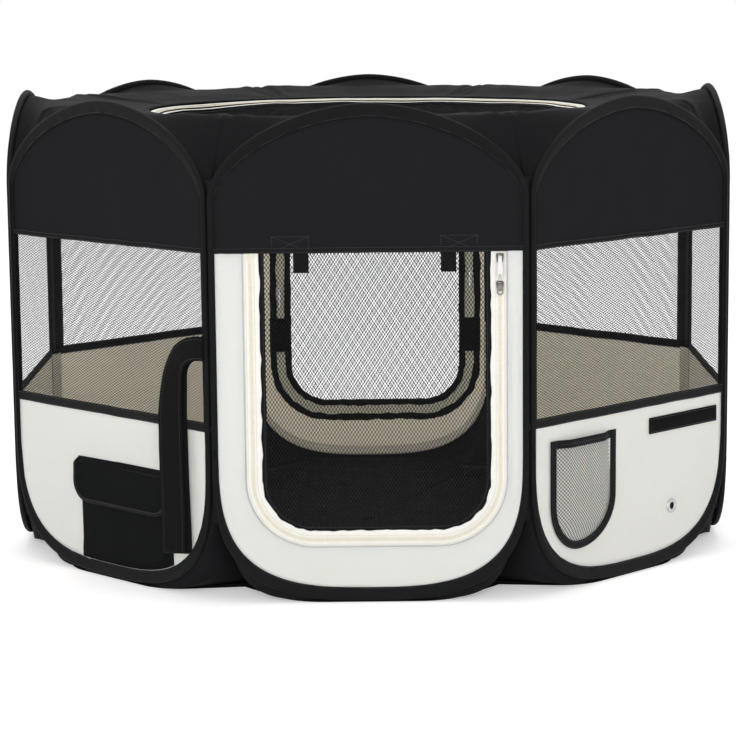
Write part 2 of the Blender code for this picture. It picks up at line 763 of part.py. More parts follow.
def strap_section(u, z, nu, nz, half, first, second):
    """A flat section of webbing: nu and nz point across its width."""
    low, high = (u - nu * half, z - nz * half), (u + nu * half, z + nz * half)
    return [
        (low[0], -first, low[1]),
        (high[0], -first, high[1]),
        (high[0], -second, high[1]),
        (low[0], -second, low[1]),
    ]


def fold_section(u, z, half, middle, radius, angle):
    """A section of the fold at the foot of the loop, turned by angle from the back layer."""
    inner, outer = radius - STRAP_THICKNESS / 2, radius + STRAP_THICKNESS / 2
    y_outer, z_outer = -middle + outer * math.cos(angle), z - outer * math.sin(angle)
    y_inner, z_inner = -middle + inner * math.cos(angle), z - inner * math.sin(angle)
    return [
        (u + half, y_outer, z_outer),
        (u - half, y_outer, z_outer),
        (u - half, y_inner, z_inner),
        (u + half, y_inner, z_inner),
    ]


def add_mesh_pocket(place):
    """A shield-shaped netting pocket."""
    left = -SIDE_INNER_U + MESH_POCKET_SIDE_MARGIN
    right = left + MESH_POCKET_WIDTH
    tip = left + MESH_POCKET_WIDTH * MESH_POCKET_TIP_SHARE
    outline = [(left, MESH_POCKET_MOUTH)]
    drop = MESH_POCKET_SHOULDER - MESH_POCKET_BOTTOM
    for edge, first in ((left, 0), (right, 1)):
        steps = range(CORNER_STEPS + 1) if edge == left else range(CORNER_STEPS - 1, -1, -1)
        for step in steps:
            angle = math.pi / 2 * step / CORNER_STEPS
            u = tip + (edge - tip) * math.cos(angle)
            outline.append((u, MESH_POCKET_SHOULDER - drop * math.sin(angle)))
    outline.append((right, MESH_POCKET_MOUTH))
    add_tray(
        "mesh_pocket", place, outline, MESH_POCKET_TAPER, MESH_POCKET_DEPTH, MESH_POCKET_WALL, BLACK_NET
    )


def add_strip(place):
    """The hook-and-loop strip near the top of the cream cloth."""
    right = SIDE_INNER_U - STRIP_SIDE_MARGIN
    top = SILL_SEAM - STRIP_DROP
    near = CLOTH_FACE + GAP
    low = (right - STRIP_LENGTH, -near - STRIP_THICKNESS, top - STRIP_WIDTH)
    add_object("hook_and_loop_strip", box(low, (right, -near, top)), BLACK_WEBBING, place)


def add_eyelet(place, cloth):
    """A pressed eyelet: a barrel through the cloth with a flange on each face."""
    u = SIDE_INNER_U - EYELET_SIDE_MARGIN
    hole, barrel = EYELET_HOLE / 2, EYELET_HOLE / 2 + EYELET_WALL
    face = CLOTH_FACE + GAP
    section = [
        (hole, face + EYELET_FLANGE),
        (EYELET_DIAMETER / 2, face + EYELET_FLANGE / 2),
        (EYELET_DIAMETER / 2, face),
        (barrel, face),
        (barrel, -face),
        (EYELET_DIAMETER / 2, -face),
        (EYELET_DIAMETER / 2, -face - EYELET_FLANGE / 2),
        (hole, -face - EYELET_FLANGE),
    ]
    loops = [
        [(u + radius * across, -depth, EYELET_HEIGHT + radius * up) for radius, depth in section]
        for across, up in circle(1, EYELET_SIDES)
    ]
    middle = (u, 0, EYELET_HEIGHT)
    add_object("eyelet", loft(loops, closed=True), EYELET_METAL, place, middle)
    punched = [(u + a, EYELET_HEIGHT + b) for a, b in circle(barrel + GAP, EYELET_SIDES)]
    cutter = add_object("eyelet_hole_cutter", plate(punched, -face, face), EYELET_METAL, place, middle)
    boolean(cloth, cutter, "DIFFERENCE")


# Floor, gussets and roof


def floor_outline(y):
    """Edge of the floor moved in by y: it follows the foot of each ring and is drawn in at each corner.

    Each panel has three points: the corner before it, its left toe and its right toe.
    """
    points = []
    for index in range(len(PANELS)):
        corner = outward(panel_turn(index) - HALF_TURN) * (CORNER_RADIUS - FLOOR_NOTCH - y)
        points += [corner, in_world(index, -FLOOR_CONTACT, y, 0), in_world(index, FLOOR_CONTACT, y, 0)]
    return points


def add_floor(place):
    corners = floor_outline(0)
    loops = [[corner + Vector((0, 0, z)) for corner in corners] for z in (0, FLOOR_THICKNESS)]
    add_object("floor_cloth", loft(loops), BLACK_CLOTH, place)


def add_gussets(place):
    """A band round the foot of the pen, which slopes up behind each rounded corner to close the gap there."""
    face = SLEEVE_HALF_THICKNESS + GAP + GUSSET_THICKNESS / 2
    ground = RING_BASE + GUSSET_THICKNESS / 2 + GAP
    reach = (APOTHEM - face) * math.tan(HALF_TURN)
    edge = floor_outline(face + GUSSET_LIP)
    inside, low, high = [], [], []

    def add_row(inner, foot, top, share):
        inside.append(inner)
        low.append(foot.lerp(inner.lerp(top, 0.5), share))
        high.append(top)

    for index in range(len(PANELS)):
        corner, left_toe, right_toe = edge[3 * index : 3 * index + 3]
        next_corner = edge[(3 * index + 3) % len(edge)]
        foot = in_world(index, -reach, face, ground)
        add_row(level(corner, ground), foot, in_world(index, -reach, face, GUSSET_PEAK), 1)
        for station in FOOT:
            if abs(station.u) > reach or station.z > GUSSET_PEAK - END_HALF_WIDTH:
                continue
            share = max(0, (abs(station.u) - FLOOR_CONTACT) / (reach - FLOOR_CONTACT))
            toe, end = (left_toe, corner) if station.u < 0 else (right_toe, next_corner)
            across = (station.u + FLOOR_CONTACT) / (2 * FLOOR_CONTACT)
            inner = toe.lerp(end, share) if share else left_toe.lerp(right_toe, across)
            lip = max(station.z + half_width_at(station), ground + GUSSET_LIP)
            foot = in_world(index, station.u, face, ground)
            add_row(level(inner, ground), foot, in_world(index, station.u, face, lip), share)
    band = add_object("corner_gussets", sheet([inside, low, high], closed=True), BLACK_CLOTH, place)
    thicken(band, GUSSET_THICKNESS)


def level(point, z):
    return Vector((point.x, point.y, z))


def add_roof(place):
    """The roof cloth, from behind the rings' heads in to the round opening."""
    face = SLEEVE_HALF_THICKNESS + 2 * GAP
    reach = (APOTHEM - face) * math.tan(HALF_TURN)
    edge = []
    for index in range(len(PANELS)):
        edge.append(in_world(index, -reach, face, HEAD_SPRING))
        for station in HEAD:
            if abs(station.u) < reach:
                edge.append(in_world(index, station.u, face, station.z - half_width_at(station)))
    radius = ROOF_OPENING_DIAMETER / 2 + GAP
    rows = []
    for row in range(ROOF_ROWS + 1):
        share = row / ROOF_ROWS
        points = []
        for start in edge:
            plan = Vector((start.x, start.y, 0)).normalized() * radius
            points.append(start.lerp(level(plan, ROOF_OPENING_HEIGHT), share))
        rows.append(points)
    roof = add_object("roof_cloth", sheet(rows, closed=True), BLACK_CLOTH, place)
    thicken(roof, ROOF_THICKNESS)


def add_roof_cover(place):
    """The zip-off netting cover: a band of zip round a sagging disc."""
    radius = ROOF_OPENING_DIAMETER / 2
    net_radius = radius - COVER_ZIP_WIDTH
    levels = []
    for ring in range(1, COVER_RINGS + 1):
        levels.append((net_radius * ring / COVER_RINGS, NET))
    levels += [(net_radius, COVER_ZIP_THICKNESS), (radius, COVER_ZIP_THICKNESS)]

    def loop(distance, offset):
        sag = COVER_SAG * max(0, 1 - (distance / net_radius) ** 2)
        height = ROOF_OPENING_HEIGHT - sag + offset
        return [(distance * a, distance * b, height) for a, b in circle(1, COVER_SIDES)]

    loops = [loop(distance, depth / 2) for distance, depth in levels]
    loops += [loop(distance, -depth / 2) for distance, depth in reversed(levels)]
    add_object("roof_cover", loft(loops), BLACK_NET, place)


# Assembly


def build():
    clear_scene()
    places = panel_places()
    pen = Place(add_empty("pen_origin", (0, 0, 0), 0), Vector())
    cloths = {}
    for name, place in places.items():
        add_sleeve(name, place)
        add_wire(name, place)
        add_top_cloth(name, place)
        if name in DOOR_PANELS:
            add_door_frame(name, place)
            add_door_zip(name, place)
            add_mesh_door(name, place)
        else:
            add_mesh_window(name, place)
            cloths[name] = add_lower_cloth(name, place)

    front, rear = places["front"], places["rear"]
    add_slider("front_zip_slider_upper", "front", front, 1, UPPER_SLIDER_DROP)
    add_slider("front_zip_slider_lower", "front", front, 1, LOWER_SLIDER_DROP)
    add_pull("front_zip_pull_upper", front, UPPER_SLIDER_DROP, UPPER_PULL_LENGTH)
    add_pull("front_zip_pull_lower", front, LOWER_SLIDER_DROP, LOWER_PULL_LENGTH)
    add_slider("rear_zip_slider_left", "rear", rear, -1, REAR_LEFT_SLIDER_DROP)
    add_slider("rear_zip_slider_right", "rear", rear, 1, REAR_RIGHT_SLIDER_DROP)
    add_roll_strap("rollup_strap_left", front, -1)
    add_roll_strap("rollup_strap_right", front, 1)

    add_cargo_pocket(places["front_left"])
    add_pocket_flap(places["front_left"])
    add_carry_strap(places["front_left"])
    add_mesh_pocket(places["front_right"])
    add_strip(places["front_right"])
    add_eyelet(places["front_right"], cloths["front_right"])

    add_floor(pen)
    add_gussets(pen)
    add_roof(pen)
    add_roof_cover(pen)


build()
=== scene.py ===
"""The foldable dog playpen as it looks: cloth, netting, bindings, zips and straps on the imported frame.

Metres, +Z up, front towards -Y. Most pieces are drawn in their panel's own frame: u runs along the panel,
to the right as seen from outside, y points into the pen and z is the height above the ground.
"""

import math
import random
from collections import namedtuple
from itertools import product

import bpy
from mathutils import Matrix, Vector, noise


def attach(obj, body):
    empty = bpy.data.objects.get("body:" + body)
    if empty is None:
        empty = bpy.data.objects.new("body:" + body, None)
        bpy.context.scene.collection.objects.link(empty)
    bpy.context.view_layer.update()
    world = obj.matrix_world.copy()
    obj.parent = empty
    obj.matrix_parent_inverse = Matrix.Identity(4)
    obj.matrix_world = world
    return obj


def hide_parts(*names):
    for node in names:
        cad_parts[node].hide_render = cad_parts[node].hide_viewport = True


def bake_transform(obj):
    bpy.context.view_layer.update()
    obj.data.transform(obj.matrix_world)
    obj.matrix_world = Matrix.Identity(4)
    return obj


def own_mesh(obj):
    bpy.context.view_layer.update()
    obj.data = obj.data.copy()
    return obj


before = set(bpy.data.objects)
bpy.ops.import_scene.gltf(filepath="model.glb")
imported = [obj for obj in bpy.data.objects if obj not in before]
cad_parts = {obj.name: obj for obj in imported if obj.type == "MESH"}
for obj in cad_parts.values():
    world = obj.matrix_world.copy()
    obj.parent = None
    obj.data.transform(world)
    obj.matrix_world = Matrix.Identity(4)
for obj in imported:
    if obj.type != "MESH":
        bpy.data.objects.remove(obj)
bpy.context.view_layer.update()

PANELS = ("front", "front_right", "right", "rear_right", "rear", "rear_left", "left", "front_left")
DOOR_PANELS = ("front", "rear")

# Sizes, most of them those of the CAD model
TURN = 2 * math.pi / len(PANELS)
HALF_TURN = TURN / 2
GAP = 0.0003
APOTHEM = 0.446
CORNER_U = APOTHEM * math.tan(HALF_TURN)
RING_HALF_WIDTH = 0.1841
SLEEVE_HALF_THICKNESS = 0.004
SIDE_HALF_WIDTH = 0.004
END_HALF_WIDTH = 0.008
RING_BASE = 0.0015
FOOT_HEIGHT = 0.168
FOOT_POWER = 3.0
FOOT_SPRING = RING_BASE + FOOT_HEIGHT
HEAD_HEIGHT = 0.108
HEAD_POWER = 1.8
HEAD_SPRING = 0.472
TOP_SEAM = 0.410
SILL_SEAM = 0.2035
CLOTH_INSERT = 0.002
CLOTH_SIDE_U = RING_HALF_WIDTH - 2 * SIDE_HALF_WIDTH + CLOTH_INSERT
FLOOR_CONTACT = 0.090
FLOOR_NOTCH = 0.085
CORNER_RADIUS = APOTHEM / math.cos(HALF_TURN)
GUSSET_PEAK = 0.105
ROOF_OPENING_RADIUS = 0.285
ROOF_OPENING_HEIGHT = 0.553
ROOF_PLATEAU = 0.5640
ROOF_TURN = 0.24
COVER_ZIP_WIDTH = 0.018
COVER_NET_RADIUS = ROOF_OPENING_RADIUS - COVER_ZIP_WIDTH
COVER_SAG = 0.022
COVER_ZIP_SLOPE = 0.55
COVER_SLACK = 0.0038
DOORWAY_HALF_WIDTH = 0.1505
DOORWAY_SHIFT = 0.007
DOORWAY_SILL = 0.067
DOORWAY_CORNER = 0.078
DOORWAY_SLACK = {"front": 0.0005, "rear": 0.0015}
ZIP_TAPE_WIDTH = 0.017
ZIP_COIL_INSET = 0.0075
DOOR_INSET = ZIP_TAPE_WIDTH + 0.0010
DOOR_TOP = TOP_SEAM - 0.0006
POCKET_LEFT = -0.0551
POCKET_RIGHT = 0.1159
POCKET_MOUTH = 0.140
POCKET_DEPTH = 0.008
FLAP_DROP = 0.050
STRAP_TOP = 0.300
STRAP_BOTTOM = 0.053
STRAP_WIDTH = 0.028
STRAP_REACH = 0.044
STRAP_BEND = 0.036
STRAP_THICKNESS = 0.0018
STRAP_LOOP_GAP = 0.009
STRAP_TWIST = math.radians(34)
STRAP_TWIST_START = 12
STRAP_TWIST_STEPS = 12
STRAP_LEAN = 0.0060
STRAP_BOW = 0.0035
MESH_POCKET_LEFT = -0.1421
MESH_POCKET_WIDTH = 0.100
MESH_POCKET_MOUTH = 0.183
MESH_POCKET_SHOULDER = 0.106
MESH_POCKET_BOTTOM = 0.057
MESH_POCKET_DEPTH = 0.0085
MESH_POCKET_TIP = MESH_POCKET_LEFT + MESH_POCKET_WIDTH * 0.42
TOUCH_WIDTH = 0.020
TOUCH_THICKNESS = 0.0018
TOUCH_RIGHT = RING_HALF_WIDTH - 2 * SIDE_HALF_WIDTH - 0.012
TOUCH_LEFT = TOUCH_RIGHT - 0.132
TOUCH_HEIGHT = SILL_SEAM - 0.016 - TOUCH_WIDTH / 2
TOUCH_MARGIN = 0.002
EYELET_U = 0.0781
EYELET_HEIGHT = 0.072
EYELET_RADIUS = 0.009
EYELET_HOLE_RADIUS = 0.004
EYELET_RISE = 0.0016
EYELET_BACK = 0.0006
EYELET_LIP = 0.0012
EYELET_WALL = 0.0008

# Cloth detail that only the scene has
SHEET_GAUGE = 0.0009
SEAM_ALLOWANCE = 0.006
BAND_WIDTH = 0.0115
WIRE_WRAP = math.radians(112)
SLEEVE_CLEARANCE = 0.0002
SLEEVE_WOBBLE = 0.00035
SLEEVE_NECK = 0.0045
SLEEVE_TUCK = 0.0016
ZIP_OUTER_TAPE = (0.0, 0.0072)
ZIP_INNER_TAPE = (0.0078, 0.0172)
ZIP_LINING_REACH = (-0.0010, 0.0168)
ZIP_INNER_FLAP = 0.0018
ZIP_EDGE_SEAM = (-0.0012,)
ZIP_SEAMS = (0.0022, 0.0122)
RIBBON_STEPS = 4
TOOTH_PITCH = 0.00155
TOOTH_HALF_LENGTH = 0.0024
TOOTH_HALF_WIDTH = 0.00062
TOOTH_RISE = 0.00085
TOOTH_LIFT = 0.0011
FLOOR_TURN_STEP = 0.010
FLOOR_TURN_STEPS = 3
FLOOR_GAUGE = 0.0010
ROOF_GAUGE = 0.0008
CORNER_GAUGE = 0.0006
LINING_GAUGE = 0.0005
CORNER_TAPE_REACH = 0.0130
WIDE_TAPE_REACH = 0.0190
COVER_TOOTH = (0.0023, 0.0006, 0.0008)
COVER_TOOTH_PITCH = 0.0016
CREASE_MARGIN = 0.030
TOP_CREASE = 0.0034
LOWER_CREASE = 0.0026
FRAME_CREASE = 0.0024
WINDOW_CREASE = 0.0006
DOOR_CREASE = 0.0007
POCKET_CREASE = 0.0011
FLAP_CREASE = 0.0009
FLOOR_CREASE = 0.0007
GUSSET_CREASE = 0.0030
ROOF_CREASE = 0.0024
ROOF_FOLD = 0.0020
ROOF_FOLD_REACH = 13
ROOF_TAUT_SHARE = 0.30
GUSSET_TURN = 0.006
GUSSET_TAUT = 0.03
# The foot lining: how deep inside the ring it starts and ends short, and how it stands off and falls back
LINING_DEPTHS = (0.0055, 0.0041)
LINING_STANDS = (0.0056, 0.0048)
LINING_WIDTH = 0.0130
CORNER_FOLD_HALF = 0.006
# Seams and bands
SEAM_MARGIN = 0.0014
SEAM_HEIGHT = 0.0013
TAPE_SEAM_HEIGHT = 0.0009
BAND_SWELL = 0.0002
DOORWAY_BAND_THICKNESS = 0.0013
DOORWAY_BAND_LIFT = 0.0018
# Width and thickness
DOOR_BINDING = (0.0058, 0.0016)
FLAP_BINDING = (0.0055, 0.0017)
POCKET_HEM = (0.007, 0.0018)
# Inset from the doorway's edge, and width
DOOR_INNER_BAND = (0.0195, 0.0088)
FRAME_INNER_BAND = (-0.0024, 0.0096)
# Height above the ground, width and thickness
DOOR_HEM = (TOP_SEAM + 0.0028, 0.0076, 0.0022)
WINDOW_HEM = (TOP_SEAM + 0.003, 0.007, 0.0022)
SILL_BAND = (SILL_SEAM + BAND_WIDTH / 2 - 0.002, BAND_WIDTH, 0.0026)
# The netting pocket
MESH_POCKET_BAND = 0.0098
MESH_POCKET_SWELL = 0.0003
MESH_POCKET_SIDE_ROUND = 0.022
MESH_POCKET_FOOT_ROUND = 0.028
MESH_POCKET_SEAM = 0.0036
# Stitches and netting
STITCH_PITCH = 0.0032
STITCH_LENGTH = 0.0024
STITCH_WIDTH = 0.0006
NET_CELL_LONG = 0.0060
NET_CELL_SHORT = 0.0039
NET_THREAD = 0.20
NET_THREAD_BLUR = 0.09

# Colours, linear
BLACK_CLOTH = (0.0125, 0.0121, 0.0136)
POCKET_CLOTH = (0.0066, 0.0071, 0.0075)
FLOOR_CLOTH = (0.0065, 0.0065, 0.0068)
BLACK_BINDING = (0.0082, 0.0086, 0.0092)
BLACK_WEBBING = (0.0060, 0.0060, 0.0065)
BLACK_THREAD = (0.022, 0.022, 0.023)
ROOF_CLOTH = (0.0105, 0.0106, 0.0116)
NET_THREAD_COLOUR = (0.012, 0.012, 0.013)
POCKET_NET = (0.020, 0.020, 0.021)
CREAM_CLOTH = (0.980, 0.842, 0.728)
# The lining's cream is painted lighter than the cloth's: painted light in place of the light that shines
# through the cloth from outside.
CREAM_LINING_PAINTED_LIGHTER = (0.970, 0.890, 0.750)
ZIP_LINING = (0.990, 0.960, 0.760)
CREAM_TAPE = (0.960, 0.935, 0.860)
CREAM_COIL = (0.870, 0.830, 0.700)
CREAM_THREAD = (0.700, 0.650, 0.500)
GREY_THREAD = (0.330, 0.320, 0.300)
PULL_METAL = (0.36, 0.36, 0.36)
SLIDER_METAL = (0.13, 0.125, 0.12)
TOUCH_TAPE = (0.0048, 0.0048, 0.0052)
EYELET_METAL = (0.52, 0.52, 0.52)
WIRE_METAL = (0.55, 0.56, 0.58)

ACROSS = Vector((1, 0, 0))
INWARD = Vector((0, 1, 0))
UP = Vector((0, 0, 1))
TINY = 1e-9
Station = namedtuple("Station", "u z nu nz")
BOX_FACES = [(0, 1, 3, 2), (4, 6, 7, 5), (0, 4, 5, 1), (2, 3, 7, 6), (0, 2, 6, 4), (1, 5, 7, 3)]


# Places


def around(angle):
    return Vector((math.sin(angle), -math.cos(angle), 0))


def outward(index):
    return around(index * TURN)


def panel_frame(index):
    """From a panel's own frame to the pen's."""
    matrix = Matrix.Rotation(index * TURN, 4, "Z")
    matrix.translation = outward(index) * APOTHEM
    return matrix


def body_of(index):
    return f"{PANELS[index]}_panel"


def tube_of(index):
    return f"{PANELS[index]}_binding_tube"


FRONT, FRONT_RIGHT, REAR, FRONT_LEFT = map(PANELS.index, ("front", "front_right", "rear", "front_left"))


# Materials


FINISHES = {}


class Finish:
    """A material built round one Principled shader, with short calls for its nodes."""

    def __init__(self, name, colour, roughness, sheen=0.0, metallic=0.0, specular=0.5):
        self.material = bpy.data.materials.new(name)
        FINISHES[name] = self.material
        self.material.use_nodes = True
        self.tree = self.material.node_tree
        self.shader = self.tree.nodes["Principled BSDF"]
        self.colour = (*colour, 1)
        self.shader.inputs["Base Color"].default_value = self.colour
        self.shader.inputs["Roughness"].default_value = roughness
        self.shader.inputs["Metallic"].default_value = metallic
        self.shader.inputs["Specular IOR Level"].default_value = specular
        self.shader.inputs["Sheen Weight"].default_value = sheen
        self.shader.inputs["Sheen Roughness"].default_value = 0.4

    def node(self, kind, values=(), **settings):
        made = self.tree.nodes.new(f"ShaderNode{kind}")
        for key, value in settings.items():
            setattr(made, key, value)
        for key, value in dict(values).items():
            if isinstance(value, bpy.types.NodeSocket):
                self.tree.links.new(value, made.inputs[key])
            else:
                made.inputs[key].default_value = value
        return made

    def math(self, operation, *values):
        return self.node("Math", enumerate(values), operation=operation).outputs[0]

    def where(self, along_cloth=False):
        """Coordinates in metres: the object's own, or along and across the piece where it has a map."""
        if along_cloth:
            return self.node("UVMap", uv_map="Cloth").outputs[0]
        return self.node("TexCoord").outputs["Object"]

    def axes(self, vector):
        split = self.node("SeparateXYZ", {0: vector})
        return split.outputs[0], split.outputs[1], split.outputs[2]

    def noise(self, vector, scale, detail=3.0, roughness=0.55):
        values = {"Vector": vector, "Scale": scale, "Detail": detail, "Roughness": roughness}
        return self.node("TexNoise", values).outputs["Fac"]

    def remap(self, value, low, high, to_low=0.0, to_high=1.0):
        values = {"Value": value, "From Min": low, "From Max": high, "To Min": to_low, "To Max": to_high}
        return self.node("MapRange", values).outputs[0]

    def wave(self, value, pitch):
        """A smooth wave from -1 to 1 with the given pitch in metres."""
        return self.math("SINE", self.math("MULTIPLY", value, 2 * math.pi / pitch))

    def shade(self, factor, dark, light):
        """Colours between the base colour times dark and times light."""
        mix = self.node("Mix", data_type="RGBA")
        self.tree.links.new(factor, mix.inputs["Factor"])
        for key, share in (("A", dark), ("B", light)):
            socket = next(s for s in mix.inputs if s.name == key and s.type == "RGBA")
            socket.default_value = [c * share for c in self.colour[:3]] + [1]
        result = next(s for s in mix.outputs if s.type == "RGBA")
        self.tree.links.new(result, self.shader.inputs["Base Color"])

    def rough(self, factor, low, high):
        self.tree.links.new(self.remap(factor, 0, 1, low, high), self.shader.inputs["Roughness"])

    def bump(self, layers):
        """Bump from several layers of (height, depth in metres, strength)."""
        normal = None
        for height, distance, strength in layers:
            values = {"Height": height, "Distance": distance, "Strength": strength}
            if normal is not None:
                values["Normal"] = normal
            normal = self.node("Bump", values).outputs[0]
        self.tree.links.new(normal, self.shader.inputs["Normal"])

    def let_light_through(self, share, tint=(1.0, 0.87, 0.70), depth=0.0035):
        """Pale cloth glows faintly with the light that falls on its other side."""
        self.shader.inputs["Subsurface Weight"].default_value = share
        self.shader.inputs["Subsurface Radius"].default_value = tint
        self.shader.inputs["Subsurface Scale"].default_value = depth


def woven_finish(name, colour, roughness, pitch, crease, specular=0.08, variation=0.10, sheen=0.0, glow=0.0):
    """Plain-woven coated cloth: fine weave, slubs and soft creases, with painted shade in the hollows of the
    creases and painted light on their ridges.
    """
    made = Finish(name, colour, roughness, sheen=sheen, specular=specular)
    place = made.where()
    across, _, up = made.axes(place)
    weave = made.math("MULTIPLY", made.wave(across, pitch), made.wave(up, pitch))
    slub = made.noise(made.node("Mapping", {"Vector": place, "Scale": (1, 1, 14)}).outputs[0], 60, 2)
    folds = made.noise(place, 7, 3, 0.5)
    pucker = made.noise(place, 32, 3, 0.55)
    creases = [(folds, 0.004, crease), (pucker, 0.0012, crease)]
    made.bump(creases + [(slub, 0.0003, 0.25), (weave, 0.00022, 0.55)])
    # Painted shade and light: the colour follows the fold noise of the creases, darker in their hollows and
    # lighter on their ridges, mixed with the slubs' own tone.
    tone = made.math("ADD", made.math("MULTIPLY", folds, 0.6), made.math("MULTIPLY", slub, 0.4))
    made.shade(tone, 1 - variation, 1 + variation)
    made.rough(pucker, roughness - 0.08, roughness + 0.08)
    if glow:
        made.let_light_through(glow)


def ribbed_finish(name, colour, roughness, pitch, sheen, slant=None):
    """Binding or webbing, with ribs across its length. The ribs of webbing slant to and fro."""
    made = Finish(name, colour, roughness, sheen=sheen, specular=0.06)
    along, across, _ = made.axes(made.where(along_cloth=True))
    if slant:
        along = made.math("ADD", along, made.math("PINGPONG", across, slant))
    ribs = made.wave(along, pitch)
    fuzz = made.noise(made.where(), 240, 2)
    wear = made.noise(made.where(), 22, 3)
    made.bump([(fuzz, 0.0003, 0.35), (ribs, 0.00025, 0.7)])
    tone = made.math("ADD", made.math("MULTIPLY", wear, 0.7), made.math("MULTIPLY", fuzz, 0.3))
    made.shade(tone, 0.82, 1.18)
    made.rough(wear, roughness - 0.08, roughness + 0.08)


def net_finish(name, colour, width=NET_CELL_SHORT, height=NET_CELL_LONG, flat_axis=1):
    """Knitted netting: rounded diamond holes left open between the threads."""
    made = Finish(name, colour, 0.75, specular=0.1)
    place = made.where()
    axes = made.axes(place)
    first, second = [axes[k] for k in range(3) if k != flat_axis]
    across = made.math("MULTIPLY", first, math.pi / width)
    up = made.math("MULTIPLY", second, math.pi / height)
    one = made.math("ABSOLUTE", made.math("SINE", made.math("ADD", across, up)))
    two = made.math("ABSOLUTE", made.math("SINE", made.math("SUBTRACT", across, up)))
    opening = made.math("MULTIPLY", one, two)
    cover = made.remap(opening, NET_THREAD + NET_THREAD_BLUR, NET_THREAD - NET_THREAD_BLUR)
    made.tree.links.new(cover, made.shader.inputs["Alpha"])
    made.bump([(opening, 0.0004, 0.5)])
    made.shade(made.noise(place, 90, 2), 0.8, 1.25)


def metal_finish(name, colour, roughness):
    """Plated metal with fine scratches and a dull, worn unevenness."""
    made = Finish(name, colour, roughness, metallic=1.0)
    place = made.where()
    scratch = made.noise(made.node("Mapping", {"Vector": place, "Scale": (1, 1, 0.12)}).outputs[0], 2600, 2)
    dull = made.noise(place, 260, 3)
    made.bump([(scratch, 0.00004, 0.3)])
    made.shade(dull, 0.85, 1.12)
    made.rough(dull, roughness - 0.08, roughness + 0.12)


def thread_finish(name, colour):
    """Twisted sewing thread."""
    made = Finish(name, colour, 0.6, sheen=0.2)
    along, across, _ = made.axes(made.where(along_cloth=True))
    twist = made.wave(made.math("ADD", along, across), 0.0008)
    made.bump([(twist, 0.0001, 0.6)])
    made.shade(made.remap(twist, -1, 1), 0.8, 1.15)


def tape_finish(name, colour):
    """Zip tape: fine herringbone along the tape, with a faint grain in its colour."""
    made = Finish(name, colour, 0.65, sheen=0.05, specular=0.3)
    made.let_light_through(0.35, tint=(1.0, 0.96, 0.84), depth=0.004)
    along, across, _ = made.axes(made.where(along_cloth=True))
    herringbone = made.wave(made.math("ADD", along, made.math("PINGPONG", across, 0.0021)), 0.0009)
    grain = made.noise(made.where(), 120, 2)
    made.bump([(grain, 0.0004, 0.35), (herringbone, 0.00018, 0.5)])
    made.shade(grain, 0.93, 1.04)


def coil_finish(name, colour):
    """Moulded zip teeth: a slightly glossy plastic."""
    made = Finish(name, colour, 0.42, specular=0.5)
    grain = made.noise(made.where(), 400, 2)
    made.bump([(grain, 0.0001, 0.3)])
    made.shade(grain, 0.88, 1.1)
    made.rough(grain, 0.35, 0.55)


def hook_finish(name, colour):
    """Touch tape: a dense pile of tiny loops."""
    made = Finish(name, colour, 0.95, sheen=0.06, specular=0.03)
    pile = made.node("TexVoronoi", {"Vector": made.where(), "Scale": 900}).outputs["Distance"]
    clump = made.noise(made.where(), 160, 3)
    made.bump([(clump, 0.0008, 0.6), (pile, 0.0006, 0.8)])
    made.shade(clump, 0.7, 1.4)


woven_finish("black_cloth", BLACK_CLOTH, 0.62, 0.0009, 0.40, specular=0.03)
woven_finish("roof_cloth", ROOF_CLOTH, 0.58, 0.0009, 0.50, specular=0.02)
woven_finish("cream_cloth", CREAM_CLOTH, 0.66, 0.0010, 0.55, variation=0.025, sheen=0.05, glow=1.0)
# Painted light: the lining has a lighter cream than the cloth, and no light shines through it.
woven_finish("cream_lining_painted_light", CREAM_LINING_PAINTED_LIGHTER, 0.66, 0.0010, 0.55, variation=0.025)
woven_finish("zip_lining", ZIP_LINING, 0.60, 0.0010, 0.40, variation=0.02)
woven_finish("pocket_cloth", POCKET_CLOTH, 0.70, 0.0011, 0.80, specular=0.03)
woven_finish("floor_cloth", FLOOR_CLOTH, 0.72, 0.0011, 0.50, specular=0.03)
ribbed_finish("black_binding", BLACK_BINDING, 0.52, 0.0012, 0.01)
ribbed_finish("black_webbing", BLACK_WEBBING, 0.72, 0.0022, 0.02, slant=0.0035)
net_finish("door_net", NET_THREAD_COLOUR)
net_finish("window_net", NET_THREAD_COLOUR, width=0.0064, height=0.0033)
net_finish("roof_net", NET_THREAD_COLOUR, flat_axis=2)
net_finish("pocket_net", POCKET_NET, width=0.0040, height=0.0046)
tape_finish("zip_tape", CREAM_TAPE)
coil_finish("zip_coil", CREAM_COIL)
metal_finish("zip_metal", PULL_METAL, 0.30)
metal_finish("slider_metal", SLIDER_METAL, 0.34)
metal_finish("eyelet_metal", EYELET_METAL, 0.25)
metal_finish("spring_steel", WIRE_METAL, 0.35)
hook_finish("hook_tape", TOUCH_TAPE)
thread_finish("black_thread", BLACK_THREAD)
thread_finish("cream_thread", CREAM_THREAD)
thread_finish("grey_thread", GREY_THREAD)


# Meshes


def add_object(name, data):
    made = bpy.data.objects.new(name, data)
    bpy.context.scene.collection.objects.link(made)
    return made


def add_piece(name, mesh, finish, body, matrix=Matrix(), replaces=(), thickness=None, smooth=True):
    """A mesh as a piece that rides on a body, in the finish and material slot of that name."""
    mesh.name = name
    mesh.materials.append(FINISHES[finish])
    piece = add_object(name, mesh)
    piece.matrix_world = matrix
    if smooth:
        mesh.shade_smooth()
        mesh.set_sharp_from_angle(angle=math.radians(50))
    if thickness:
        modifier = piece.modifiers.new("Thickness", "SOLIDIFY")
        modifier.thickness = thickness
        modifier.offset = 0
    bpy.context.view_layer.update()
    if body:
        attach(piece, body)
    if replaces:
        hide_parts(*replaces)
    return piece


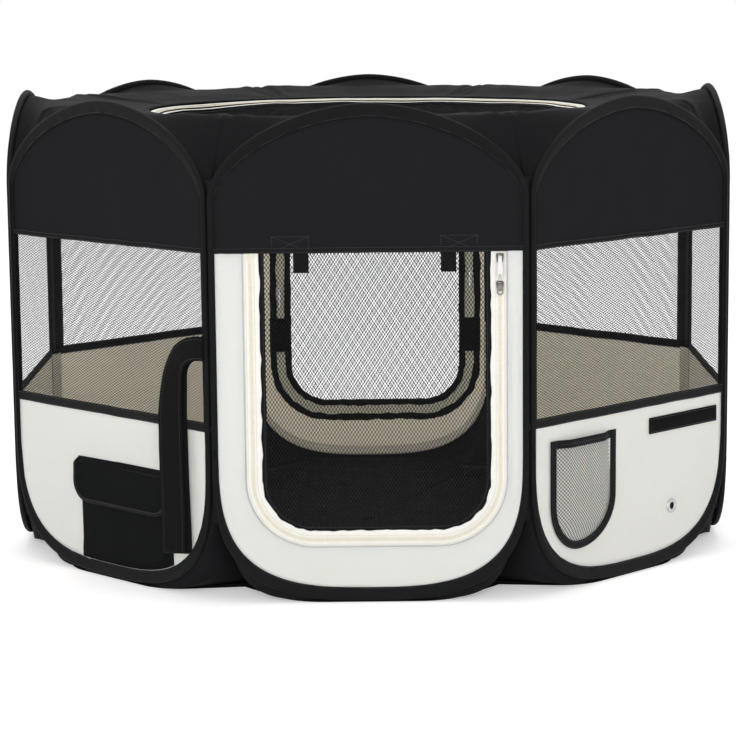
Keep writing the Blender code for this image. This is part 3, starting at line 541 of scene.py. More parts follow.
def on_panel(name, mesh, finish, index, body=None, replaces=(), **looks):
    """A piece drawn in a panel's own frame, which rides on that panel or on the body named."""
    return add_piece(name, mesh, finish, body or body_of(index), panel_frame(index), replaces, **looks)


def add_band(name, places, section, finish, index, body=None, replaces=()):
    return on_panel(name, join_meshes([sweep(places, section)]), finish, index, body, replaces)


def add_seam(name, parts, index, body=None, finish="black_thread"):
    on_panel(name, join_meshes(parts), finish, index, body)


def mesh_from(points, faces, cloth_map=None):
    mesh = bpy.data.meshes.new("mesh")
    mesh.from_pydata([tuple(p) for p in points], [], faces)
    if cloth_map is not None:
        layer = mesh.uv_layers.new(name="Cloth")
        for loop in mesh.loops:
            layer.data[loop.index].uv = cloth_map[loop.vertex_index]
    mesh.update()
    return mesh


def strip_faces(loops, count, closed=False, open_loops=False):
    """Four-sided faces between loops of count points. Closed joins the last loop to the first."""
    faces = []
    for k in range(loops if closed else loops - 1):
        here, after = k * count, (k + 1) % loops * count
        for j in range(count - 1 if open_loops else count):
            next_j = (j + 1) % count
            faces.append((here + j, here + next_j, after + next_j, after + j))
    return faces


def grid(rows, cloth_map=None):
    """A sheet through rows of points, each of the same length."""
    faces = strip_faces(len(rows), len(rows[0]), open_loops=True)
    return mesh_from([p for row in rows for p in row], faces, cloth_map)


def join_meshes(parts):
    """One mesh from several (points, faces, map) triples."""
    points, faces, cloth_map = [], [], []
    for more_points, more_faces, more_map in parts:
        faces += [tuple(len(points) + k for k in face) for face in more_faces]
        points += more_points
        cloth_map += more_map
    return mesh_from(points, faces, cloth_map)


def sweep(places, section, closed=False):
    """A solid swept along places of (point, side, up), with a section of (side, up) points.

    The section may be a function of the place's number. It comes back as points, faces and a map in metres.
    """
    points, cloth_map = [], []
    travelled = 0.0
    for k, (point, side, up) in enumerate(places):
        if k:
            travelled += (point - places[k - 1][0]).length
        shape = section(k) if callable(section) else section
        girth = 0.0
        for j, (a, b) in enumerate(shape):
            if j:
                girth += math.dist(shape[j - 1], (a, b))
            points.append(point + side * a + up * b)
            cloth_map.append((travelled, girth))
    total, count = len(places), len(shape)
    faces = strip_faces(total, count, closed)
    if not closed:
        faces += [tuple(reversed(range(count))), tuple(range((total - 1) * count, total * count))]
    return points, faces, cloth_map


def rounded_strip(width, thickness, swell=0.0):
    """Section of a flat band with soft edges."""
    half, bulge = width / 2, thickness / 2
    flat = half - min(bulge, half / 2)
    low = [(-half, -bulge * 0.3), (-flat, -bulge), (0, -bulge - swell), (flat, -bulge), (half, -bulge * 0.3)]
    return low + [(-a, -b) for a, b in low]


def resample(line, step, closed=False):
    """Points, and directions, at equal steps along a line of points."""
    points = [Vector(p) for p in line]
    if closed:
        points.append(points[0])
    lengths = [(b - a).length for a, b in zip(points, points[1:])]
    total = sum(lengths)
    count = max(2, round(total / step))
    places = []
    segment, start = 0, 0.0
    for k in range(count if closed else count + 1):
        want = total * k / count
        while segment < len(lengths) - 1 and start + lengths[segment] < want:
            start += lengths[segment]
            segment += 1
        share = (want - start) / max(lengths[segment], TINY)
        direction = (points[segment + 1] - points[segment]).normalized()
        places.append((points[segment].lerp(points[segment + 1], share), direction))
    return places


def stitches(line, face=-1, closed=False, pitch=STITCH_PITCH):
    """A row of sewn stitches along a line on the outer (-1) or the inner (1) face of a panel."""
    length, width = STITCH_LENGTH, STITCH_WIDTH
    parts = []
    for point, direction in resample(line, pitch, closed):
        side = direction.cross(INWARD * face).normalized() * (width / 2)
        reach = direction * (length / 2)
        rise = INWARD * (face * width * 0.45)
        ring = [point + side, point + rise, point - side, point - rise * 0.6]
        tips = [point - reach - rise * 0.4, point + reach - rise * 0.4]
        inner = [p - reach * 0.6 for p in ring] + [p + reach * 0.6 for p in ring]
        faces = []
        for j in range(4):
            after = (j + 1) % 4
            faces += [(j, after, 4 + after, 4 + j), (8, after, j), (9, 4 + j, 4 + after)]
        along = [0.0] * 4 + [length] * 4 + [0.0, length]
        around = [0, width, 2 * width, 3 * width] * 2 + [0, 0]
        parts.append((inner + tips, faces, list(zip(along, around))))
    return parts


def span(start, end, steps):
    """Even steps from start to end, both included."""
    return [start + (end - start) * k / steps for k in range(steps + 1)]


def radial(angle):
    """A direction in a panel's plane, turned from along the panel towards up."""
    return Vector((math.cos(angle), 0, math.sin(angle)))


def smooth_step(value):
    value = max(0.0, min(1.0, value))
    return value * value * (3 - 2 * value)


def ripple(a, b, seed, fine=1.0):
    """A soft, repeatable unevenness from about -1 to 1 over distances in metres."""
    coarse = noise.noise(Vector((a * 7 * fine, b * 6 * fine, seed * 7.3)))
    small = noise.noise(Vector((a * 19 * fine, b * 15 * fine, seed * 3.1 + 50)))
    return 1.3 * coarse + 0.55 * small


# The outline of a ring


def signed_power(value, power):
    return math.copysign(abs(value) ** power, value)


def ring_end(spring, height, power, steps):
    """Stations from left to right round one curved end of the ring. A foot has a negative height."""
    stations = []
    bulge = 2 / power
    for step in range(2 * steps + 1):
        angle = math.pi * (1 - step / (2 * steps))
        across, up = math.cos(angle), max(0.0, math.sin(angle))
        u = signed_power(across, bulge) * RING_HALF_WIDTH
        z = spring + height * up**bulge
        steep = 2 - bulge
        normal = Vector((signed_power(across, steep) / RING_HALF_WIDTH, up**steep / height)).normalized()
        stations.append(Station(u, z, normal.x, normal.y))
    return stations


def side_run(sign, low, high, steps):
    return [Station(sign * RING_HALF_WIDTH, z, sign, 0.0) for z in span(low, high, steps)[1:-1]]


FOOT = ring_end(FOOT_SPRING, -FOOT_HEIGHT, FOOT_POWER, 26)
HEAD = ring_end(HEAD_SPRING, HEAD_HEIGHT, HEAD_POWER, 24)
RIGHT_SIDE = side_run(1, FOOT_SPRING, HEAD_SPRING, 22)
LEFT_SIDE = side_run(-1, FOOT_SPRING, HEAD_SPRING, 22)[::-1]
RING = FOOT + RIGHT_SIDE + HEAD[::-1] + LEFT_SIDE


def half_width_at(station):
    return SIDE_HALF_WIDTH + (END_HALF_WIDTH - SIDE_HALF_WIDTH) * abs(station.nz)


def inside_ring(station, depth, y=0.0):
    return Vector((station.u - station.nu * depth, y, station.z - station.nz * depth))


def cloth_edge(stations):
    return [inside_ring(s, 2 * half_width_at(s) - CLOTH_INSERT) for s in stations]


def edge_height(edge, u):
    """Height of a cloth edge at u: the edge runs from left to right."""
    for a, b in zip(edge, edge[1:]):
        if a.x <= u <= b.x:
            return a.z + (b.z - a.z) * (u - a.x) / max(b.x - a.x, TINY)
    return edge[0].z if u < edge[0].x else edge[-1].z


HEAD_EDGE = cloth_edge(HEAD)
FOOT_EDGE = cloth_edge(FOOT)


# Rings


def sleeve_section(station, number, seed):
    """Binding folded over the wire: round at the wire, then flat to its stitched edge, slightly gathered."""
    half = half_width_at(station)
    radius = min(SLEEVE_HALF_THICKNESS, half) - SLEEVE_CLEARANCE
    wobble = noise.noise(Vector((number * 0.9, seed * 5.0, 0))) * SLEEVE_WOBBLE
    radius += min(0.0, wobble)
    centre = half - radius - SLEEVE_CLEARANCE
    section = []
    for angle in span(-WIRE_WRAP, WIRE_WRAP, 8):
        section.append((centre + radius * math.cos(angle), radius * math.sin(angle)))
    flat = SEAM_HEIGHT + abs(wobble) * 0.6
    neck = -half + min(0.62 * half, SLEEVE_NECK)
    tuck = noise.noise(Vector((number * 0.7, seed * 5.0, 9))) * SLEEVE_TUCK * abs(station.nz)
    for a, b in ((neck, flat + 0.0006), (-half, flat * 0.8), (-half, -flat * 0.8), (neck, -flat - 0.0006)):
        section.append((min(a, centre - radius * 0.4), b + tuck))
    return section


def build_ring(index):
    places = [(inside_ring(s, half_width_at(s)), Vector((s.nu, 0, s.nz)), INWARD) for s in RING]
    rng = random.Random(100 + index)
    numbers = [rng.uniform(-0.2, 0.2) + k for k in range(len(RING))]

    def section(k):
        return sleeve_section(RING[k], numbers[k], index)

    tube = join_meshes([sweep(places, section, closed=True)])
    on_panel(tube_of(index), tube, "black_binding", index, replaces=[f"{PANELS[index]}_ring_sleeve"])
    seam = [inside_ring(s, 2 * half_width_at(s) - SEAM_MARGIN, -SEAM_HEIGHT) for s in RING]
    add_seam(f"{PANELS[index]}_binding_stitches", stitches(seam, closed=True), index)


# Cloths


def cloth_rows(low, high, columns, rows, seed, amplitude):
    """Rows of points between two edges given as heights at u, with creases that fade at the edges."""
    made = []
    for share in span(0, 1, rows):
        row = []
        for u in span(-CLOTH_SIDE_U, CLOTH_SIDE_U, columns):
            bottom, top = low(u), high(u)
            z = bottom + (top - bottom) * share
            fade = smooth_step(min(CLOTH_SIDE_U - abs(u), z - bottom, top - z) / CREASE_MARGIN)
            row.append(Vector((u, amplitude * fade * ripple(u, z, seed), z)))
        made.append(row)
    return made


def sheet_area(rows):
    total = 0.0
    for a, b in zip(rows, rows[1:]):
        for k in range(len(a) - 1):
            total += ((a[k + 1] - a[k]).cross(b[k] - a[k])).length / 2
            total += ((b[k + 1] - b[k]).cross(a[k + 1] - b[k + 1])).length / 2
    return total


def line_length(points):
    return sum((b - a).length for a, b in zip(points, points[1:]))


def declare_sheet(piece, width, height, area, carrier, held="stretched"):
    area = min(area, width * height)


def add_panel_sheet(index, label, node, finish, low, high, size, seed, amplitude, height, thickness=None):
    """A sheet from side to side of a panel, held by the binding of its ring."""
    name = PANELS[index]
    rows = cloth_rows(low, high, *size, index + seed, amplitude)
    piece = on_panel(f"{name}_{label}", grid(rows), finish, index, replaces=[f"{name}_{node}"],
                     thickness=thickness)
    declare_sheet(piece, 2 * CLOTH_SIDE_U, height, sheet_area(rows), tube_of(index))


def build_top_cloth(index):
    add_panel_sheet(index, "black_cloth", "top_cloth", "black_cloth", lambda u: TOP_SEAM,
                    lambda u: edge_height(HEAD_EDGE, u), (44, 18), 1, TOP_CREASE,
                    HEAD_SPRING + HEAD_HEIGHT - TOP_SEAM, SHEET_GAUGE)


def straight_band(index, label, z, width, thickness, finish, seed):
    """A tape sewn from side to side on both faces of a panel, with a row of stitches near each edge."""
    edge = CLOTH_SIDE_U - 0.001
    places = []
    for u in span(-edge, edge, round(2 * edge / 0.012)):
        places.append((Vector((u, 0, z + 0.0005 * ripple(u, z, seed, 3))), UP, INWARD))
    name = f"{PANELS[index]}_{label}"
    add_band(name, places, rounded_strip(width, thickness, BAND_SWELL), finish, index)
    rows = []
    for offset in (SEAM_MARGIN - width / 2, width / 2 - SEAM_MARGIN):
        for face in (-1, 1):
            rows += stitches([p + Vector((0, face * thickness / 2, offset)) for p, _, _ in places], face)
    add_seam(f"{name}_stitches", rows, index)


def build_window(index):
    """Netting between the two cloths, with the sewn band along its foot and the hem of the black cloth."""
    add_panel_sheet(index, "window_net", "mesh_window", "window_net", lambda u: SILL_SEAM, lambda u: TOP_SEAM,
                    (30, 16), 21, WINDOW_CREASE, TOP_SEAM - SILL_SEAM)
    straight_band(index, "sill_band", *SILL_BAND, "black_binding", index)
    straight_band(index, "window_hem", *WINDOW_HEM, "black_cloth", index + 40)


def build_lower_cloth(index):
    add_panel_sheet(index, "cream_cloth", "lower_cloth", "cream_cloth", lambda u: edge_height(FOOT_EDGE, u),
                    lambda u: SILL_SEAM, (44, 22), 61, LOWER_CREASE, SILL_SEAM - RING_BASE, SHEET_GAUGE)


# Doors and zips


def doorway_middle(index):
    """Both doorways sit off the middle of their panels, towards +X."""
    return DOORWAY_SHIFT if index == FRONT else -DOORWAY_SHIFT


def doorway_line(index, inset, top, corner_steps=14, side_steps=16):
    """The U of the doorway moved in by inset, from top left to top right: (point, direction outwards)."""
    side = DOORWAY_HALF_WIDTH - inset
    bottom = DOORWAY_SILL + inset
    radius = DOORWAY_CORNER - inset
    spring = bottom + radius
    places = [(Vector((-side, 0, z)), -ACROSS) for z in span(top, spring, side_steps)[:-1]]
    for centre, start in ((radius - side, math.pi), (side - radius, 1.5 * math.pi)):
        for away in map(radial, span(start, start + math.pi / 2, corner_steps)):
            places.append((Vector((centre, 0, spring)) + away * radius, away))
        if centre < 0:
            places += [(Vector((u, 0, bottom)), -UP) for u in span(centre, -centre, side_steps)[1:-1]]
    places += [(Vector((side, 0, z)), ACROSS) for z in span(spring, top, side_steps)[1:]]
    return [(point + ACROSS * doorway_middle(index), away) for point, away in places]


def reach_edge(point, away):
    """How far it is from a point of the doorway to the cloth's edge in the ring."""
    edge = [Vector((-CLOTH_SIDE_U, 0, TOP_SEAM)), *FOOT_EDGE, Vector((CLOTH_SIDE_U, 0, TOP_SEAM))]
    distances = []
    for a, b in zip(edge, edge[1:]):
        along, offset = b - a, a - point
        cross = away.x * along.z - away.z * along.x
        if abs(cross) < 1e-12:
            continue
        distance = (offset.x * along.z - offset.z * along.x) / cross
        share = (offset.x * away.z - offset.z * away.x) / cross
        if distance > 0 and -1e-6 <= share <= 1 + 1e-6:
            distances.append(distance)
    return min(distances, default=CLOTH_SIDE_U - DOORWAY_HALF_WIDTH)


def build_door_frame(index):
    steps = 8
    rows = [[] for _ in range(steps + 1)]
    for point, away in doorway_line(index, 0.0004, TOP_SEAM):
        reach = reach_edge(point, away)
        for r, row in enumerate(rows):
            place = point + away * (reach * r / steps)
            fade = smooth_step(min(r, steps - r) / 2.5)
            place.y = FRAME_CREASE * fade * ripple(place.x, place.z, index + 81, 1.4)
            row.append(place)
    piece = on_panel(f"{PANELS[index]}_cream_frame", grid(rows), "cream_cloth", index,
                     replaces=[f"{PANELS[index]}_door_frame"], thickness=SHEET_GAUGE)
    hidden = SEAM_ALLOWANCE * (line_length(rows[0]) + line_length(rows[-1]))
    declare_sheet(piece, 2 * CLOTH_SIDE_U, TOP_SEAM - RING_BASE, sheet_area(rows) + hidden, tube_of(index))


def doorway_ribbon(index, label, insets, thickness, finish, seed, crinkle, lift, flap=0.0, replaces=()):
    """A ribbon that follows the U of the doorway between two insets, its inner edge crinkled."""
    outer, inner = (doorway_line(index, inset, TOP_SEAM - 0.0004, 20, 26) for inset in insets)
    rows = [[] for _ in range(RIBBON_STEPS + 1)]
    for k, ((start, _), (end, away)) in enumerate(zip(outer, inner)):
        wave = ripple(k * 0.011, seed, seed, 4.0)
        for r, row in enumerate(rows):
            share = r / RIBBON_STEPS
            place = start.lerp(end, share)
            place.y = -lift + crinkle * share**2 * wave - flap * share**4
            row.append(place)
        rows[-1][-1] -= away * (flap * (0.5 + 0.9 * ripple(k * 0.017, seed, seed + 5, 4.0)))
    seam = doorway_line(index, 0.0, TOP_SEAM, 20, 26)
    travelled = [0.0]
    for (a, _), (b, _) in zip(seam, seam[1:]):
        travelled.append(travelled[-1] + (b - a).length)
    width = insets[1] - insets[0]
    cloth_map = [(along, width * r / RIBBON_STEPS) for r in range(RIBBON_STEPS + 1) for along in travelled]
    on_panel(f"{PANELS[index]}_{label}", grid(rows, cloth_map), finish, index, replaces=replaces,
             thickness=thickness)


def zip_coil_parts(index):
    """Interlocked zip teeth: small rounded links across the middle of the tape."""
    faces = strip_faces(4, 4) + [(3, 2, 1, 0), (12, 13, 14, 15)]
    parts = []
    line = [p for p, _ in doorway_line(index, ZIP_COIL_INSET, TOP_SEAM - 0.001)]
    for k, (point, direction) in enumerate(resample(line, TOOTH_PITCH)):
        across = Vector((direction.z, 0, -direction.x))
        centre = point + across * (0.0005 if k % 2 else -0.0005) - INWARD * TOOTH_LIFT
        points = []
        for end, scale in ((-1, 0.55), (-0.55, 1.0), (0.55, 1.0), (1, 0.55)):
            middle = centre + across * (end * TOOTH_HALF_LENGTH)
            wide, rise = direction * (TOOTH_HALF_WIDTH * scale), INWARD * (TOOTH_RISE * scale)
            points += [middle + wide, middle - rise, middle - wide, middle + rise * 0.5]
        parts.append((points, faces, [(0, 0)] * len(points)))
    return parts


def build_zip(index):
    name = PANELS[index]
    doorway_ribbon(index, "zip_outer_tape", ZIP_OUTER_TAPE, 0.0009, "zip_tape", index + 3, 0.0004, 0.0002,
                   replaces=[f"{name}_door_zip"])
    doorway_ribbon(index, "zip_inner_tape", ZIP_INNER_TAPE, 0.0008, "zip_tape", index + 4, 0.0008, 0.0002,
                   flap=ZIP_INNER_FLAP)
    doorway_ribbon(index, "zip_lining", ZIP_LINING_REACH, 0.0003, "zip_lining", index + 9, 0.0004, -0.0009)
    on_panel(f"{name}_zip_coil", join_meshes(zip_coil_parts(index)), "zip_coil", index, smooth=False)
    seams = (("zip_edge_seam", ZIP_EDGE_SEAM, "grey_thread"), ("zip_seams", ZIP_SEAMS, "cream_thread"))
    for label, insets, finish in seams:
        rows = []
        for inset in insets:
            line = [p - INWARD * TAPE_SEAM_HEIGHT for p, _ in doorway_line(index, inset, TOP_SEAM - 0.001)]
            rows += stitches(line, pitch=0.0030)
        add_seam(f"{name}_{label}", rows, index, finish=finish)


def add_doorway_band(index, label, inset, width, body=None):
    """Binding round the doorway on its inner side, over the seams of the zip."""
    slack = DOORWAY_SLACK[PANELS[index]]
    places = []
    for k, (point, away) in enumerate(doorway_line(index, inset, TOP_SEAM - 0.0012, 26, 32)):
        waver = slack * ripple(k * 0.013, inset * 9, 17, 3)
        places.append((point + away * waver + INWARD * DOORWAY_BAND_LIFT, away, INWARD))

    def section(k):
        uneven = 1.5 * slack * ripple(k * 0.017, inset * 9, 19, 3)
        return rounded_strip(width + uneven, DOORWAY_BAND_THICKNESS, BAND_SWELL)

    add_band(f"{PANELS[index]}_{label}", places, section, "black_binding", index, body)


def build_door(index):
    """The netting door with its black binding, which swings about the seam above it."""
    name = PANELS[index]
    body = f"{name}_door"
    side = DOORWAY_HALF_WIDTH - DOOR_INSET - 0.001
    outline = [p for p, _ in doorway_line(index, DOOR_INSET + 0.001, DOOR_TOP, 16, 12)]
    foot = DOORWAY_SILL + DOOR_INSET
    rows = []
    for left, right in zip(outline[:len(outline) // 2 + 1], reversed(outline)):
        z = left.z
        row = []
        for u in span(left.x, right.x, 30):
            margin = min(side - abs(u - doorway_middle(index)), z - foot, DOOR_TOP - z)
            y = DOOR_CREASE * smooth_step(margin / 0.04) * ripple(u, z, index + 7)
            row.append(Vector((u, y, z)))
        if right.x - left.x > 0.004:
            rows.append(row)
    net = on_panel(f"{name}_door_net", grid(rows), "door_net", index, body, [f"{name}_mesh_door"])
    declare_sheet(net, 2 * side, DOOR_TOP - foot, sheet_area(rows), f"{name}_door_binding", "hung")
    places = []
    for k, (point, away) in enumerate(doorway_line(index, DOOR_INSET + 0.0025, DOOR_TOP, 18, 20)):
        waver = DOORWAY_SLACK[name] * (0.5 + 0.5 * ripple(k * 0.019, index, 27, 3))
        places.append((point - away * waver, away, INWARD))
    section = rounded_strip(*DOOR_BINDING, BAND_SWELL)
    add_band(f"{name}_door_binding", places, section, "black_binding", index, body)
    seam = [p - away * 0.0012 - INWARD * TAPE_SEAM_HEIGHT for p, away, _ in places]
    add_seam(f"{name}_door_stitches", stitches(seam), index, body)
    straight_band(index, "door_hem", *DOOR_HEM, "black_cloth", index + 40)
    add_doorway_band(index, "door_inner_binding", *DOOR_INNER_BAND, body)
    add_doorway_band(index, "frame_inner_binding", *FRAME_INNER_BAND)


# Sliders, pulls and roll-up straps


ROLLUP_TAIL_U = 0.0845
ROLLUP_ANCHOR_U = (0.0757, 0.1173)
ROLLUP_TOP = TOP_SEAM + 0.0180
ROLLUP_TAIL = TOP_SEAM - 0.0237
ROLLUP_SEAMS = (TOP_SEAM + 0.0015, TOP_SEAM + 0.0185)
ROLLUP_BEHIND = 0.0018
ROLLUP_SWING = 0.0011
ROLLUP_TAIL_BAND = (0.0178, 0.0013)
ROLLUP_ANCHOR_BAND = (0.0172, 0.0011)
REAR_SLIDERS = ((-1, "left", 0.125), (1, "right", 0.154))
REAR_PULL_LENGTH = 0.0225
REAR_TAB_HEIGHT = 0.190
REAR_TAB_HALF_LENGTH = 0.0155
REAR_TAB_BOW = 0.0008
REAR_TAB = (0.051, 0.0018)
REAR_TAB_SEAM = (0.0138, 0.0235)
SLIDER_LENGTH = 0.011
SLIDER_FRONT = 0.0035
SLIDER_BACK = 0.0009
BAIL_REACH = 0.00514
BAIL_LIFT = 0.002
BAIL_HALF_SPAN = 0.00335
BAIL_RADIUS = 0.00045
BAIL_BEND = 0.35
EYE_INNER = 0.00084
EYE_OUTER = 0.00134
PULL_EYE_HALF = 0.0022
PULL_HALF_THICKNESS = 0.0004
# Share of half the length above the middle, half width, and how far the face sinks there
SLIDER_STATIONS = [
    (1.0, 0.0031, 0.0009), (0.93, 0.0038, 0.0004), (0.8, 0.00422, 0.0001), (0.5, 0.00425, 0.0),
    (0.0, 0.0040, 0.0), (-0.5, 0.0037, 0.0), (-0.8, 0.0036, 0.0001), (-0.93, 0.0035, 0.0004),
    (-1.0, 0.0032, 0.0009),
]
# Name, drop of the slider, length, half width and hole radius of the tab, and finish
FRONT_PULLS = [
    ("upper", 0.008, 0.0256, 0.0032, 0.0020, "zip_metal"),
    ("lower", 0.040, 0.0125, 0.0038, 0.0025, "slider_metal"),
]


def zip_middle(index, side):
    return doorway_middle(index) + side * (DOORWAY_HALF_WIDTH - ZIP_COIL_INSET)


def lathe(profile, sides):
    """A turned solid about the y axis from (radius, y) points of a closed profile."""
    points = []
    for k in range(sides):
        angle = 2 * math.pi * k / sides
        points += [(radius * math.cos(angle), y, radius * math.sin(angle)) for radius, y in profile]
    faces = strip_faces(sides, len(profile), closed=True)
    return mesh_from(points, [(a, d, c, b) for a, b, c, d in faces])


def build_eyelet():
    """A rolled metal eyelet, with a proud rounded rim on the outer face of the cloth."""
    hole, rim = EYELET_HOLE_RADIUS, EYELET_RADIUS
    middle, half = (hole + rim) / 2, (rim - hole) / 2
    face = SHEET_GAUGE / 2
    back = face + EYELET_BACK
    profile = []
    for degrees in range(0, 181, 20):
        angle = math.radians(degrees)
        profile.append((middle + half * math.cos(angle), -face - EYELET_RISE * math.sin(angle)))
    profile += [(hole + 0.0003, 0), (hole, back), (rim - EYELET_LIP, back), (rim - EYELET_LIP, face)]
    profile += [(hole + EYELET_WALL, face), (hole + EYELET_WALL, -face)]
    place = panel_frame(FRONT_RIGHT) @ Matrix.Translation((EYELET_U, 0, EYELET_HEIGHT))
    add_piece("stake_eyelet", lathe(profile, 48), "eyelet_metal", body_of(FRONT_RIGHT), place, ["eyelet"])
    # Painted shade: a black disc in the webbing finish fills the hole, in place of the dim inside of the pen
    # seen through it.
    shade_disc = [(0.0, -face - 0.0001), (hole + 0.0006, -face - 0.0001), (hole + 0.0006, face), (0.0, face)]
    add_piece("eyelet_hole_painted_shade", lathe(shade_disc, 32), "black_webbing", body_of(FRONT_RIGHT), place)


def rectangle(u0, u1, z0, z1, y):
    return [Vector(p) for p in ((u0, y, z0), (u1, y, z0), (u1, y, z1), (u0, y, z1))]


def build_rollup_strap(side, name):
    """A hook-and-loop strap sewn on behind the black cloth with a box of stitches, its tail in view."""
    middle, inner, outer = (DOORWAY_SHIFT + side * u for u in (ROLLUP_TAIL_U, *ROLLUP_ANCHOR_U))
    places = []
    for z in span(ROLLUP_TOP, ROLLUP_TAIL, 16):
        swing = ROLLUP_SWING * smooth_step((TOP_SEAM - z) / 0.022)
        places.append((Vector((middle, ROLLUP_BEHIND + swing, z)), ACROSS, INWARD))
    section = rounded_strip(*ROLLUP_TAIL_BAND)
    add_band(f"{name}_tail", places, section, "black_webbing", FRONT, replaces=[name])
    line = [Vector((u, ROLLUP_BEHIND + 0.0014, TOP_SEAM + 0.0094)) for u in span(inner, outer, 10)]
    places = [(point, UP, INWARD) for point in line]
    add_band(f"{name}_anchor", places, rounded_strip(*ROLLUP_ANCHOR_BAND), "black_webbing", FRONT)
    corners = rectangle(*sorted((inner, outer)), *ROLLUP_SEAMS, -0.0007)
    box = stitches(corners, closed=True) + stitches(corners[::2]) + stitches(corners[1::2])
    add_seam(f"{name}_stitches", box, FRONT)


def build_slider(name, index, side, drop):
    """A slider that narrows downwards, with a flange on each side of the coil and a bent bar for its pull."""
    middle, z = zip_middle(index, side), TOP_SEAM - drop

    def section(k):
        _, half, sink = SLIDER_STATIONS[k]
        inner, front = min(0.0028, half - 0.0006), sink - SLIDER_FRONT
        outside = [(half - 0.0007, front), (half, front + 0.0006), (half, -SLIDER_BACK)]
        inside = [(inner, -SLIDER_BACK), (inner, -0.0021), (-inner, -0.0021), (-inner, -SLIDER_BACK)]
        return [(-a, b) for a, b in reversed(outside)] + outside + inside

    down, bar = [], []
    for share, _, _ in SLIDER_STATIONS:
        down.append((Vector((middle, 0, z + share * SLIDER_LENGTH / 2)), ACROSS, INWARD))
    for degrees in range(0, 181, 15):
        angle = math.radians(degrees)
        across = 0.0 if degrees == 90 else signed_power(math.cos(angle), BAIL_BEND)
        rise = (BAIL_REACH - SLIDER_FRONT) * max(0.0, math.sin(angle)) ** BAIL_BEND
        out = 0.0004 + rise if 0 < degrees < 180 else 0.0
        point = Vector((middle + BAIL_HALF_SPAN * across, -SLIDER_FRONT - out + 0.0004, z + BAIL_LIFT))
        bar.append((point, UP, Vector((math.cos(angle), -math.sin(angle), 0))))
    turns = span(0, 2 * math.pi, 8)[:-1]
    ring = [(BAIL_RADIUS * math.cos(t), BAIL_RADIUS * math.sin(t)) for t in turns]
    parts = [sweep(down, section), sweep(bar, ring)]
    on_panel(f"{name}_body", join_meshes(parts), "slider_metal", index, name, [name])


def build_pull(name, drop, length, half, hole, finish):
    """A tab with a round end and a hole through it, hung by a rolled eye from the bar of its slider."""
    middle, top = zip_middle(FRONT, 1), TOP_SEAM - drop + BAIL_LIFT
    turns = span(math.radians(20), math.radians(320), 12)
    curl = [(EYE_OUTER * math.sin(t), -EYE_OUTER * math.cos(t)) for t in turns]
    curl += [(EYE_INNER * math.sin(t), -EYE_INNER * math.cos(t)) for t in reversed(turns)]
    ends = [(Vector((middle + side * PULL_EYE_HALF, -BAIL_REACH, top)), INWARD, UP) for side in (-1, 1)]
    centre = half - length
    shoulder = [(half, 0.45), (half * 0.86, 0.75), (PULL_EYE_HALF, 0.9), (PULL_EYE_HALF, 1.0)]
    right = [(a, centre + share * (-EYE_INNER - centre)) for a, share in shoulder]
    head = right + [(0.0, right[-1][1])] + [(-a, b) for a, b in reversed(right)]
    below = span(math.pi, 2 * math.pi, 16)
    above = span(0, math.pi, len(head) + 1)[1:-1]
    outline = [(half * math.cos(t), centre + half * math.sin(t)) for t in below] + head
    rim = [(hole * math.cos(t), centre + hole * math.sin(t)) for t in below + above]
    points = []
    for loop, face in ((rim, -1), (outline, -1), (outline, 1), (rim, 1)):
        points += [Vector((middle + a, -BAIL_REACH + PULL_HALF_THICKNESS * face, top + b)) for a, b in loop]
    parts = [sweep(ends, curl), (points, strip_faces(4, len(outline), closed=True), [(0, 0)] * len(points))]
    tab = on_panel(f"{name}_tab", join_meshes(parts), finish, FRONT, name, [name])
    soft = tab.modifiers.new("Edges", "BEVEL")
    soft.width = 0.0002
    soft.segments = 2


def build_front_zip_parts():
    for label, drop, *_ in FRONT_PULLS:
        build_slider(f"front_zip_slider_{label}", FRONT, 1, drop)
    for label, *shape in FRONT_PULLS:
        build_pull(f"front_zip_pull_{label}", *shape)


def build_rear_zip_parts():
    """Inside the rear panel: hook-and-loop tabs that hold the zip shut, and the sliders with their pulls."""
    for side, label, drop in REAR_SLIDERS:
        middle, z = zip_middle(REAR, side), TOP_SEAM - drop
        places = []
        for share in span(-1, 1, 12):
            y = 0.0040 + REAR_TAB_BOW * math.cos(share * math.pi / 2)
            point = Vector((middle + REAR_TAB_HALF_LENGTH * share, y, REAR_TAB_HEIGHT + 0.0006 * side))
            places.append((point, UP, INWARD))
        add_band(f"rear_zip_tab_{label}", places, rounded_strip(*REAR_TAB), "hook_tape", REAR)
        across, up = REAR_TAB_SEAM
        corners = rectangle(middle - across, middle + across,
                            REAR_TAB_HEIGHT - up, REAR_TAB_HEIGHT + up, 0.0052)
        add_seam(f"rear_zip_tab_{label}_stitches", stitches(corners, 1, closed=True), REAR)
        build_slider(f"rear_zip_slider_{label}", REAR, side, drop)
        hang = [Vector((middle, 0.0066 + 0.0008 * share, z - REAR_PULL_LENGTH * share))
                for share in span(0, 1, 8)]
        block = [Vector((middle, 0.0030, height)) for height in span(z - 0.005, z + 0.005, 4)]
        shapes = ((hang, rounded_strip(0.0050, 0.0010)), (block, rounded_strip(0.0085, 0.0034)))
        parts = [sweep([(p, ACROSS, INWARD) for p in line], section) for line, section in shapes]
        body = f"rear_zip_slider_{label}"
        on_panel(f"rear_zip_pull_{label}", join_meshes(parts), "eyelet_metal", REAR, body)


# Pockets, flap, strap and touch tape


CLOTH_FACE = SHEET_GAUGE / 2 + GAP
POCKET_GAUGE = 0.0008
POCKET_PLEAT = 0.012
INNER_FOOT = [inside_ring(s, 2 * half_width_at(s)) for s in FOOT]


